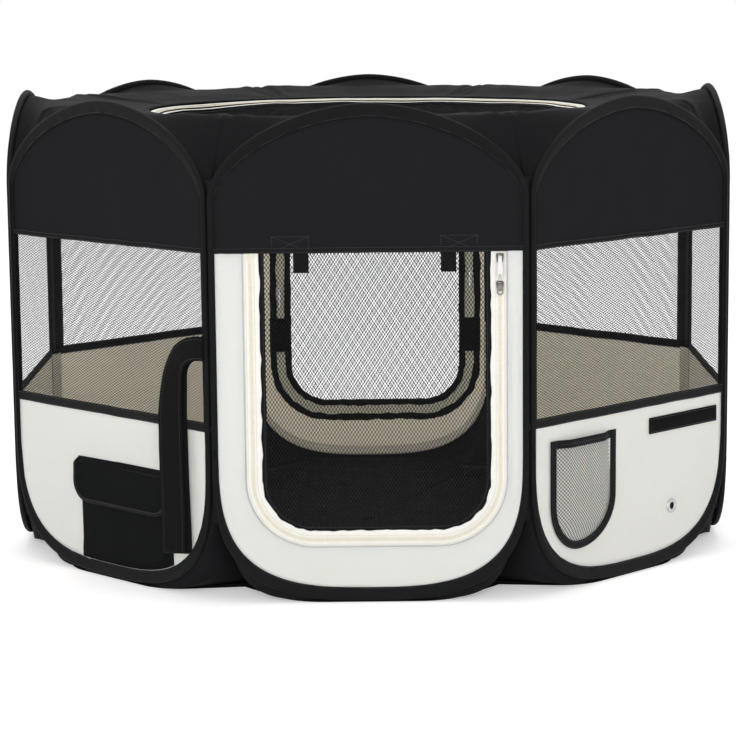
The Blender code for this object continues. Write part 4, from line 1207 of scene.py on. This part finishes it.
def pocket_stand(u, z, bottom):
    """How far the patch pocket stands off the panel, with box pleats at its sides and foot."""
    side = min(u - POCKET_LEFT, POCKET_RIGHT - u)
    rise = smooth_step(side / POCKET_PLEAT) * smooth_step((z - bottom) / POCKET_PLEAT)
    return rise * (POCKET_DEPTH - 0.0012)


def build_cargo_pocket():
    rows = []
    for share in span(0, 1, 32):
        row = []
        for u in span(POCKET_LEFT, POCKET_RIGHT, 44):
            bottom = edge_height(INNER_FOOT, u) + 0.001
            z = bottom + (POCKET_MOUTH - bottom) * share
            stand = pocket_stand(u, z, bottom)
            crease = POCKET_CREASE * smooth_step(stand / POCKET_DEPTH) * ripple(u, z, 91, 2.2)
            row.append(Vector((u, -CLOTH_FACE - stand - crease - 0.0003, z)))
        rows.append(row)
    pocket = on_panel("pocket_front", grid(rows), "pocket_cloth", FRONT_LEFT, replaces=["cargo_pocket"],
                      thickness=POCKET_GAUGE)
    height = POCKET_MOUTH - edge_height(INNER_FOOT, (POCKET_LEFT + POCKET_RIGHT) / 2)
    declare_sheet(pocket, POCKET_RIGHT - POCKET_LEFT + 0.02, height + 0.012, sheet_area(rows),
                  "front_left_cream_cloth")
    mouth = [(p - UP * 0.003, UP, INWARD) for p in rows[-1][2:-2]]
    add_band("pocket_mouth_hem", mouth, rounded_strip(*POCKET_HEM), "black_binding", FRONT_LEFT)
    sewn = []
    for edge, shift in ((0, 0.0022), (-1, -0.0022)):
        sewn += stitches([row[edge] + Vector((shift, -0.0012, 0)) for row in rows])
    add_seam("pocket_side_stitches", sewn, FRONT_LEFT)


FLAP_TOP = POCKET_MOUTH + 0.006
FLAP_SHOULDER = POCKET_MOUTH + 0.0015
FLAP_TIP = FLAP_SHOULDER - FLAP_DROP
FLAP_LEFT = POCKET_LEFT - 0.003
FLAP_RIGHT = POCKET_RIGHT + 0.0015
FLAP_WIDTH = FLAP_RIGHT - FLAP_LEFT
FLAP_CORNER = 0.026
FLAP_ROUND = 0.0085
FLAP_ALLOWANCE = 0.018
FLAP_EDGE = 0.0022


def flap_lower_edge(u):
    margin = min(u - FLAP_LEFT, FLAP_RIGHT - u)
    if margin >= FLAP_CORNER:
        return FLAP_TIP
    short = FLAP_CORNER - margin
    return FLAP_TIP + FLAP_CORNER - math.sqrt(max(0, FLAP_CORNER**2 - short**2))


def flap_face(u, z):
    """How far the flap stands off the panel at a height: over the mouth's edge, then down, a little wavy."""
    full = POCKET_DEPTH + 0.0012
    fall = smooth_step((FLAP_TOP - z) / FLAP_ROUND)
    low = smooth_step((FLAP_TOP - z) / FLAP_DROP)
    return CLOTH_FACE + 0.0004 + full * fall + low * (FLAP_CREASE * ripple(u, z, 93, 2.0) + 0.0006)


def build_pocket_flap():
    rows = []
    for share in span(0, 1, 24):
        row = []
        for turn in span(0, math.pi, 60):
            u = (FLAP_LEFT + FLAP_RIGHT - FLAP_WIDTH * math.cos(turn)) / 2
            z = FLAP_TOP + (flap_lower_edge(u) - FLAP_TOP) * share**0.8
            row.append(Vector((u, -flap_face(u, z), z)))
        rows.append(row)
    flap = on_panel("pocket_flap_cloth", grid(rows), "pocket_cloth", FRONT_LEFT, "pocket_flap",
                    ["pocket_flap"], thickness=POCKET_GAUGE)
    declare_sheet(flap, FLAP_WIDTH, FLAP_DROP + FLAP_ALLOWANCE, sheet_area(rows), "pocket_front", "hung")
    edge = [row[0] for row in rows[4:-1]] + rows[-1] + [row[-1] for row in reversed(rows[4:-1])]
    line = [p for p, _ in resample(edge, 0.003)]
    places = []
    for k, point in enumerate(line):
        before, after = line[max(k - 1, 0)], line[min(k + 1, len(line) - 1)]
        away = (after - before).normalized().cross(INWARD).normalized()
        places.append((point + away * FLAP_EDGE, -away, INWARD))
    section = rounded_strip(*FLAP_BINDING, BAND_SWELL)
    add_band("pocket_flap_binding", places, section, "black_binding", FRONT_LEFT, "pocket_flap")
    seam = [p - INWARD * 0.0011 - side * 0.0016 for p, side, _ in places]
    head = [Vector((u, -0.0021, FLAP_TOP - 0.0012)) for u in span(FLAP_LEFT, FLAP_RIGHT, 20)]
    add_seam("pocket_flap_stitches", stitches(seam) + stitches(head), FRONT_LEFT, "pocket_flap")


def strap_path():
    """Middle of the webbing, with its outward side: out of the corner seam, round the bend and down."""
    end = RING_HALF_WIDTH - SIDE_HALF_WIDTH + 0.0006
    centre = Vector((end - STRAP_REACH + STRAP_BEND, 0, STRAP_TOP - STRAP_BEND))
    foot = STRAP_BOTTOM + STRAP_LOOP_GAP
    level = [(Vector((u, 0, STRAP_TOP)), UP) for u in span(end, centre.x, 5)[:-1]]
    bend = [(centre + away * STRAP_BEND, away) for away in map(radial, span(math.pi / 2, math.pi, 12))]
    fall = [(Vector((centre.x - STRAP_BEND, 0, z)), -ACROSS) for z in span(centre.z, foot, 28)[1:]]
    return level + bend + fall


def build_carry_strap():
    """A loop of webbing that hangs from the corner seam: down, round at its foot, and back up in front."""
    near = SLEEVE_HALF_THICKNESS + GAP + STRAP_THICKNESS / 2
    path = strap_path()
    count = len(path)
    places = []
    for k, (point, away) in enumerate(path):
        lean = ACROSS * (STRAP_LEAN * (k / count) ** 2 + 0.0006 * ripple(point.z, 0.3, 51, 2))
        twist = STRAP_TWIST * smooth_step((k - STRAP_TWIST_START) / STRAP_TWIST_STEPS)
        turn = Matrix.Rotation(twist, 3, "Z")
        clear = INWARD * (near + STRAP_WIDTH / 2 * math.sin(twist))
        places.append((point + lean - clear, turn @ away, turn @ INWARD))
    foot, away, _ = places[-1]
    radius = (STRAP_LOOP_GAP + STRAP_THICKNESS) / 2
    for angle in span(0, math.pi, 8)[1:-1]:
        drop = Vector((0, radius * math.cos(angle) - radius, -radius * math.sin(angle)))
        facing = Matrix.Rotation(STRAP_TWIST, 3, "Z") @ Vector((0, math.cos(angle), -math.sin(angle)))
        places.append((foot + drop, away, facing))
    for k in range(count - 1, -1, -1):
        point, away, facing = places[k]
        spread = STRAP_LOOP_GAP * smooth_step(k / 12) * (1 + 0.16 * ripple(point.z, 0.1, 52, 2))
        front = Vector((STRAP_BOW * math.sin(math.pi * k / count), -STRAP_THICKNESS - GAP - spread, 0))
        places.append((point + front, away, -facing))
    section = rounded_strip(STRAP_WIDTH, 0.0014)
    strap = add_band("carry_strap_webbing", places, section, "black_webbing", FRONT_LEFT, "carry_strap",
                     ["carry_strap"])
    length = line_length([p for p, _, _ in places])
    declare_sheet(strap, STRAP_WIDTH, length, STRAP_WIDTH * length, tube_of(FRONT_LEFT), "hung")
    rows = []
    for side in (-1, 1):
        reach = side * (STRAP_WIDTH / 2 - 0.003)
        rows += stitches([p + away * reach + facing * 0.0008 for p, away, facing in places[count + 7:]])
    add_seam("carry_strap_stitches", rows, FRONT_LEFT, "carry_strap")


def shield_line():
    """Outline of the netting pocket from its top left, down round the tip and up to its top right."""
    left, right = MESH_POCKET_LEFT, MESH_POCKET_LEFT + MESH_POCKET_WIDTH
    drop = MESH_POCKET_SHOULDER - MESH_POCKET_BOTTOM
    heights = span(MESH_POCKET_MOUTH, MESH_POCKET_SHOULDER, 8)[:-1]
    quarter = span(0, math.pi / 2, 14)

    def curve(edge, turns):
        reach = edge - MESH_POCKET_TIP
        return [(MESH_POCKET_TIP + reach * math.cos(t), MESH_POCKET_SHOULDER - drop * math.sin(t))
                for t in turns]

    line = [(left, z) for z in heights] + curve(left, quarter)
    return line + curve(right, quarter[-2::-1]) + [(right, z) for z in reversed(heights)]


def build_mesh_pocket():
    """A shield of netting that bulges off the cloth, bound all round in black."""
    line = shield_line()
    rows = []
    for left, right in zip(line[:len(line) // 2 + 1], reversed(line)):
        row = []
        for u, z in zip(span(left[0], right[0], 24), span(left[1], right[1], 24)):
            fullness = smooth_step(min(u - left[0], right[0] - u) / MESH_POCKET_SIDE_ROUND)
            fullness *= smooth_step((z - MESH_POCKET_BOTTOM) / MESH_POCKET_FOOT_ROUND)
            row.append(Vector((u, -CLOTH_FACE - 0.0004 - (MESH_POCKET_DEPTH - 0.001) * fullness, z)))
        if right[0] - left[0] > 0.003:
            rows.append(row)
    net = on_panel("mesh_pocket_net", grid(rows), "pocket_net", FRONT_RIGHT, replaces=["mesh_pocket"])
    height = MESH_POCKET_MOUTH - MESH_POCKET_BOTTOM
    declare_sheet(net, MESH_POCKET_WIDTH + 0.008, height + 0.004, sheet_area(rows), "front_right_cream_cloth")
    places = []
    for point, along in resample([Vector((u, -CLOTH_FACE - 0.0016, z)) for u, z in line], 0.003):
        away = along.cross(INWARD)
        places.append((point - away * (MESH_POCKET_BAND / 2 - 0.0006), away, INWARD))
    section = rounded_strip(MESH_POCKET_BAND, 0.0022, MESH_POCKET_SWELL)
    add_band("mesh_pocket_binding", places, section, "black_binding", FRONT_RIGHT)
    mouth = [(p + Vector((0, -0.0002, -MESH_POCKET_BAND / 2)), UP, INWARD) for p in rows[0]]
    section = rounded_strip(MESH_POCKET_BAND, 0.0020, MESH_POCKET_SWELL)
    add_band("mesh_pocket_mouth", mouth, section, "black_binding", FRONT_RIGHT)
    sewn = []
    for shift in (-MESH_POCKET_SEAM, MESH_POCKET_SEAM):
        sewn += stitches([p + away * shift - INWARD * 0.0014 for p, away, _ in places])
    sewn += stitches([p - INWARD * SEAM_HEIGHT for p, _, _ in mouth[2:-2]])
    add_seam("mesh_pocket_stitches", sewn, FRONT_RIGHT)


def build_touch_strip():
    """The hook-and-loop strip: fuzzy tape, a little wavy, sewn down near its edge."""
    y = -CLOTH_FACE - TOUCH_THICKNESS / 2
    places = []
    for u in span(TOUCH_LEFT, TOUCH_RIGHT, 33):
        wave = (0, -0.0003 * abs(ripple(u, TOUCH_HEIGHT, 31, 3)), 0.0003 * ripple(u, TOUCH_HEIGHT, 32, 3))
        places.append((Vector((u, y, TOUCH_HEIGHT)) + Vector(wave), UP, INWARD))
    section = rounded_strip(TOUCH_WIDTH, TOUCH_THICKNESS)
    add_band("touch_strip", places, section, "hook_tape", FRONT_RIGHT, replaces=["hook_and_loop_strip"])
    reach = TOUCH_WIDTH / 2 - TOUCH_MARGIN
    corners = rectangle(TOUCH_LEFT + TOUCH_MARGIN, TOUCH_RIGHT - TOUCH_MARGIN, TOUCH_HEIGHT - reach,
                        TOUCH_HEIGHT + reach, y - 0.0012)
    add_seam("touch_strip_stitches", stitches(corners, closed=True), FRONT_RIGHT)


# Floor, gussets and roof, cut into one gore for each panel


def in_world(index, u, y, z):
    return panel_frame(index) @ Vector((u, y, z))


def crumple(piece):
    """Gives the piece a mesh of its own."""
    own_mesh(piece)


def add_gore(index, name, rows, finish, node, flat, thickness=None):
    """One panel's share of a cloth that runs all round the pen."""
    piece = add_piece(f"{PANELS[index]}_{name}", grid(rows), finish, body_of(index), replaces=[node],
                      thickness=thickness)
    declare_sheet(piece, *flat, sheet_area(rows), tube_of(index))
    crumple(piece)


def floor_edge(index, u, inset=0.0):
    """Edge of the floor beside u: along the panel's foot, then round a turn in to the drawn-in corner."""
    total = Vector()
    for step in range(-FLOOR_TURN_STEPS, FLOOR_TURN_STEPS + 1):
        place = u + FLOOR_TURN_STEP * step
        side = 1 if place > 0 else -1
        share = (abs(place) - FLOOR_CONTACT) / (CORNER_U - FLOOR_CONTACT)
        if share > 0:
            corner = around(index * TURN + side * HALF_TURN) * (CORNER_RADIUS - FLOOR_NOTCH - inset)
            total += in_world(index, side * FLOOR_CONTACT, inset, 0).lerp(corner, share)
        else:
            total += in_world(index, place, inset, 0)
    return total / (2 * FLOOR_TURN_STEPS + 1)


def build_floor_gore(index):
    edge = [floor_edge(index, u) for u in span(-CORNER_U, CORNER_U, 36)]
    rows = []
    for r in range(21):
        row = []
        for k, point in enumerate(edge):
            place = point * (1 - 0.999 * r / 20)
            free = smooth_step(min(r, 20 - r) / 5) * smooth_step(min(k, len(edge) - 1 - k) / 6)
            place.z = 0.0006 + FLOOR_CREASE * free * max(0.0, ripple(place.x, place.y, 5, 1.2))
            row.append(place)
        rows.append(row)
    add_gore(index, "floor_cloth", rows, "floor_cloth", "floor_cloth", (2 * CORNER_U, APOTHEM), FLOOR_GAUGE)


def build_gusset(index):
    """The cloth from the floor's edge up to the ring, sloping behind the ring's rounded corners."""
    face = SLEEVE_HALF_THICKNESS + GAP + 0.0005
    ground = RING_BASE + 0.0008
    reach = (APOTHEM - face) * math.tan(HALF_TURN)
    peak = GUSSET_PEAK - END_HALF_WIDTH
    corner = Station(reach, peak, 1.0, 0.0)
    foot = [s for s in FOOT if abs(s.u) < reach - 0.001 and s.z < peak]
    rows = [[] for _ in range(9)]
    for s in [corner._replace(u=-reach, nu=-1.0), *foot, corner]:
        at_corner = abs(s.u) >= reach
        share = max(0.0, (abs(s.u) - FLOOR_CONTACT) / (reach - FLOOR_CONTACT))
        inner = floor_edge(index, s.u * CORNER_U / reach, face + GUSSET_TURN)
        inner.z = ground
        height = GUSSET_PEAK if at_corner else max(s.z + half_width_at(s), ground + GUSSET_TURN)
        top = in_world(index, s.u, face, height)
        middle = in_world(index, s.u, face, ground).lerp(inner.lerp(top, 0.5), share)
        fade = 0.0 if at_corner else smooth_step((reach - abs(s.u)) / GUSSET_TAUT) * share
        for r, row in enumerate(rows):
            place = inner.lerp(middle, r / 4) if r < 4 else middle.lerp(top, (r - 4) / 4)
            unrest = fade * smooth_step(min(r, 8 - r) / 3) * ripple(s.u, r * 0.012, index + 15, 2.4)
            row.append(place - outward(index) * (GUSSET_CREASE * abs(unrest)))
    flat = (2 * CORNER_U + 0.04, 0.130)
    add_gore(index, "foot_gusset", rows, "black_cloth", "corner_gussets", flat, SHEET_GAUGE)


def corner_strip(index, low, high, steps, lift, reach, halves):
    """Rows up the corner after a panel, from that panel's cloth over the two rings to the next one's."""
    cloth_y = SEAM_HEIGHT
    profile = [(reach, cloth_y), (0.70 * reach + 0.0022, cloth_y + 0.45 * (lift - cloth_y))]
    profile += [(0.0062, lift), (0.0030, lift)]
    face = CORNER_U - lift * math.tan(HALF_TURN)
    rows = []
    for z in span(low, high, steps):
        sway = 0.0004 * ripple(z, index * 0.3, 61, 4)
        row = []
        if -1 in halves:
            row += [in_world(index, CORNER_U - depth + sway, y, z) for depth, y in profile]
        row.append(in_world(index, face, lift, z) if -1 in halves else in_world(index + 1, -face, lift, z))
        if 1 in halves:
            row += [in_world(index + 1, depth - CORNER_U + sway, y, z) for depth, y in profile[::-1]]
        rows.append(row)
    return rows


def build_corner(index):
    """The seam between two panels: taped inside in black beside the windows, lined in cream below the sill.

    The corner where the loop of panels is closed has two halves, one on each panel.
    """
    after = (index + 1) % len(PANELS)
    tape_reach = WIDE_TAPE_REACH if PANELS[index] in ("right", "rear_left") else CORNER_TAPE_REACH
    strips = (
        ("corner_tape", SILL_SEAM + 0.004, HEAD_SPRING + 0.022, 30, "black_binding", 0.0044, tape_reach),
        # The corner lining's cream is painted lighter than the cloth's, as painted light.
        ("corner_lining", 0.125, SILL_SEAM + 0.001, 10, "cream_lining_painted_light", 0.0066, CORNER_TAPE_REACH),
        ("corner_backing", GUSSET_PEAK - 0.012, 0.200, 10, "black_cloth", 0.0046, 0.0120),
    )
    for name, low, high, steps, finish, lift, reach in strips:
        for halves in (((-1,), (1,)) if index == FRONT else ((-1, 1),)):
            whole = len(halves) == 2
            owner = after if halves == (1,) else index
            rows = corner_strip(index, low, high, steps, lift, reach, halves)
            label = f"{PANELS[owner]}_{name}" if whole else f"{PANELS[owner]}_{name}_half"
            piece = add_piece(label, grid(rows), finish, None if whole else body_of(owner),
                              thickness=CORNER_GAUGE)
            declare_sheet(piece, len(halves) * reach, high - low, sheet_area(rows), tube_of(owner))
            if whole:
                start = in_world(index, CORNER_U - CORNER_FOLD_HALF, lift, low)
                end = in_world(after, CORNER_FOLD_HALF - CORNER_U, lift, low)
                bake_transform(piece)


def build_foot_lining(index):
    """Cream cloth inside the pen that runs down over the foot of the ring to the floor."""
    near, short = LINING_DEPTHS
    high, fall = LINING_STANDS
    rows = []
    for share in span(0, 1, 4):
        y = high - fall * smooth_step(share - 0.15)
        rows.append([inside_ring(s, near + (2 * half_width_at(s) - short) * share, y) for s in FOOT])
    # Its cream is painted lighter than the cloth's, as painted light in place of the light that shines
    # through the cloth.
    piece = on_panel(f"{PANELS[index]}_foot_lining", grid(rows), "cream_lining_painted_light", index,
                     thickness=LINING_GAUGE)
    declare_sheet(piece, line_length(rows[2]), LINING_WIDTH, sheet_area(rows), tube_of(index))
    crumple(piece)


def roof_edge(index):
    """Where the roof is sewn to a ring's arch, from corner to corner."""
    face = SLEEVE_HALF_THICKNESS + 2 * GAP
    reach = (APOTHEM - face) * math.tan(HALF_TURN)
    arch = [in_world(index, s.u, face, s.z - half_width_at(s)) for s in HEAD if abs(s.u) < reach]
    return [in_world(index, -reach, face, HEAD_SPRING), *arch, in_world(index, reach, face, HEAD_SPRING)]


def build_roof_gore(index):
    """Roof cloth, taut from arch to arch, which turns level and runs in to the round opening."""
    rows = [[] for _ in range(21)]
    edge = roof_edge(index)
    for k, start in enumerate(edge):
        end = Vector((start.x, start.y, 0)).normalized() * (ROOF_OPENING_RADIUS + 0.0006)
        end.z = ROOF_OPENING_HEIGHT
        side = min(k, len(edge) - 1 - k)
        for r, row in enumerate(rows):
            share = (r / 20) ** 1.5
            place = start.lerp(end, share)
            if share < ROOF_TURN:
                place.z = start.z + (ROOF_PLATEAU - start.z) * smooth_step(share / ROOF_TURN)
            else:
                fall = smooth_step((share - ROOF_TURN) / (1 - ROOF_TURN))
                place.z = ROOF_PLATEAU + (ROOF_OPENING_HEIGHT - ROOF_PLATEAU) * fall
            free = smooth_step(min(share, 1 - share) / ROOF_TAUT_SHARE) * smooth_step(side / 4)
            fold = ROOF_FOLD * math.sin(side * 1.15 + 2.2 * share) * (1 - smooth_step(side / ROOF_FOLD_REACH))
            place.z += free * (fold + ROOF_CREASE * ripple(place.x, place.y, 11, 1.6))
            row.append(place)
    add_gore(index, "roof_cloth", rows, "roof_cloth", "roof_cloth", (2 * CORNER_U, 0.200), ROOF_GAUGE)


def cover_height(distance):
    """The round zip slopes in, and the netting sags inside it."""
    slope = COVER_ZIP_SLOPE * min(COVER_ZIP_WIDTH, ROOF_OPENING_RADIUS - distance)
    sag = (COVER_SAG - 0.004) * max(0.0, 1 - (distance / COVER_NET_RADIUS) ** 2)
    return ROOF_OPENING_HEIGHT - slope - sag


def cover_arc(index, radius, lift=0.0, steps=14):
    """Points of a circle over one panel's share of the roof."""
    hang = min(1.0, (ROOF_OPENING_RADIUS - radius) / COVER_ZIP_WIDTH) * smooth_step(radius / 0.12)
    line = []
    for angle in span(index * TURN - HALF_TURN, index * TURN + HALF_TURN, steps):
        away = around(angle)
        place = away * radius
        place.z = cover_height(radius) + lift + COVER_SLACK * hang * ripple(away.x, away.y, 31, 0.35)
        line.append(place)
    return line


def build_cover_gore(index):
    """One gore of the zip-off cover: sagging netting, its binding and its share of the round zip."""
    name = PANELS[index]
    rows = [cover_arc(index, COVER_NET_RADIUS * (1 - 0.992 * r / 18)) for r in range(19)]
    add_gore(index, "cover_net", rows, "roof_net", "roof_cover", (0.222, COVER_NET_RADIUS + 0.004))
    bands = (
        ("cover_zip_outer", ROOF_OPENING_RADIUS - 0.0040, 0.0080, 0.0010, "zip_tape"),
        ("cover_zip_inner", ROOF_OPENING_RADIUS - 0.0115, 0.0068, 0.0010, "zip_tape"),
        ("cover_binding", COVER_NET_RADIUS + 0.0012, 0.0060, 0.0018, "black_binding"),
    )
    for label, radius, width, thickness, finish in bands:
        places = [(p, Vector((p.x, p.y, 0)).normalized(), UP) for p in cover_arc(index, radius)]
        mesh = join_meshes([sweep(places, rounded_strip(width, thickness))])
        crumple(add_piece(f"{name}_{label}", mesh, finish, body_of(index)))
    teeth = []
    line = cover_arc(index, ROOF_OPENING_RADIUS - 0.0077, 0.0009, 30)
    for k, (point, along) in enumerate(resample(line, COVER_TOOTH_PITCH)):
        across = Vector((point.x, point.y, 0)).normalized()
        centre = point + across * (0.0004 if k % 2 else -0.0004)
        half = [way * size for way, size in zip((across, along, UP), COVER_TOOTH)]
        corners = [centre + half[0] * a + half[1] * b + half[2] * c for a, b, c in product((-1, 1), repeat=3)]
        teeth.append((corners, BOX_FACES, [(0, 0)] * 8))
    coil = add_piece(f"{name}_cover_coil", join_meshes(teeth), "zip_coil", body_of(index), smooth=False)
    crumple(coil)


# Camera, lights and floor


CAMERA_PLACE = (0.0055, -3.300, 0.7158)
CAMERA_TILT = 0.1529
CAMERA_YAW = 0.0026
CAMERA_ROLL = -0.0103
CAMERA_FOCAL_PIXELS = 2510.0
IMAGE_PIXELS = 736
SENSOR_MM = 36.0


def add_camera():
    data = bpy.data.cameras.new("camera")
    data.sensor_width = SENSOR_MM
    data.lens = CAMERA_FOCAL_PIXELS / IMAGE_PIXELS * SENSOR_MM
    camera = add_object("camera", data)
    camera.location = CAMERA_PLACE
    turn = Matrix.Rotation(CAMERA_YAW, 4, "Z") @ Matrix.Rotation(math.pi / 2 - CAMERA_TILT, 4, "X")
    camera.rotation_euler = (turn @ Matrix.Rotation(CAMERA_ROLL, 4, "Z")).to_euler()
    bpy.context.scene.camera = camera


def add_lamp(name, place, target, size, power):
    data = bpy.data.lights.new(name, "AREA")
    data.shape = "RECTANGLE"
    data.size, data.size_y = size
    data.energy = power
    lamp = add_object(name, data)
    lamp.location = place
    lamp.rotation_euler = (Vector(target) - Vector(place)).to_track_quat("-Z", "Y").to_euler()


WORLD_LEVEL = 0.78
FLOOR_GLOW = 0.35
FLOOR_REACH = 9


def seen_directly(tree):
    """1 for rays from the camera, straight or by way of a gloss or a transparent net, and 0 for others."""
    path = tree.nodes.new("ShaderNodeLightPath")
    seen = path.outputs["Is Camera Ray"]
    for ray in ("Is Glossy Ray", "Is Transmission Ray"):
        greater = tree.nodes.new("ShaderNodeMath")
        greater.operation = "MAXIMUM"
        tree.links.new(seen, greater.inputs[0])
        tree.links.new(path.outputs[ray], greater.inputs[1])
        seen = greater.outputs[0]
    return seen


def add_stage():
    """Plain pale floor, white surroundings for what the camera sees, and soft light for the object."""
    world = bpy.data.worlds.new("studio")
    bpy.context.scene.world = world
    world.use_nodes = True
    tree = world.node_tree
    background = tree.nodes["Background"]
    background.inputs["Color"].default_value = (WORLD_LEVEL, WORLD_LEVEL, WORLD_LEVEL, 1)
    white = tree.nodes.new("ShaderNodeBackground")
    white.inputs["Color"].default_value = (1, 1, 1, 1)
    mix = tree.nodes.new("ShaderNodeMixShader")
    for k, source in enumerate((seen_directly(tree), background.outputs[0], white.outputs[0])):
        tree.links.new(source, mix.inputs[k])
    tree.links.new(mix.outputs[0], tree.nodes["World Output"].inputs["Surface"])

    corners = [(FLOOR_REACH * a, FLOOR_REACH * b, 0) for a, b in ((-1, -1), (1, -1), (1, 1), (-1, 1))]
    mesh = mesh_from(corners, [(0, 1, 2, 3)])
    finish = Finish("stage_floor", (0.90, 0.90, 0.90), 0.9, specular=0.1)
    glow = finish.math("MULTIPLY", seen_directly(finish.tree), FLOOR_GLOW)
    finish.shader.inputs["Emission Color"].default_value = (1, 1, 1, 1)
    finish.tree.links.new(glow, finish.shader.inputs["Emission Strength"])
    mesh.materials.append(finish.material)
    add_object("stage_floor", mesh)

    add_lamp("key", (-0.15, -3.9, 1.15), (0, 0, 0.3), (2.0, 2.0), 60)
    add_lamp("top", (0.0, 0.3, 3.2), (0, 0, 0.2), (2.4, 2.4), 26)
    bpy.context.scene.view_settings.view_transform = "Standard"


# Assembly


add_camera()
add_stage()
for number, panel in enumerate(PANELS):
    build_ring(number)
    build_top_cloth(number)
    if panel in DOOR_PANELS:
        build_door_frame(number)
        build_zip(number)
        build_door(number)
    else:
        build_window(number)
        build_lower_cloth(number)
    build_floor_gore(number)
    build_gusset(number)
    build_roof_gore(number)
    build_cover_gore(number)
    build_corner(number)
    build_foot_lining(number)
build_front_zip_parts()
build_rear_zip_parts()
for way, label in ((-1, "left"), (1, "right")):
    build_rollup_strap(way, f"rollup_strap_{label}")
build_cargo_pocket()
build_pocket_flap()
build_carry_strap()
build_mesh_pocket()
build_touch_strip()
build_eyelet()

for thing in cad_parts.values():
    thing.data.materials.clear()
    thing.data.materials.append(FINISHES["spring_steel"])
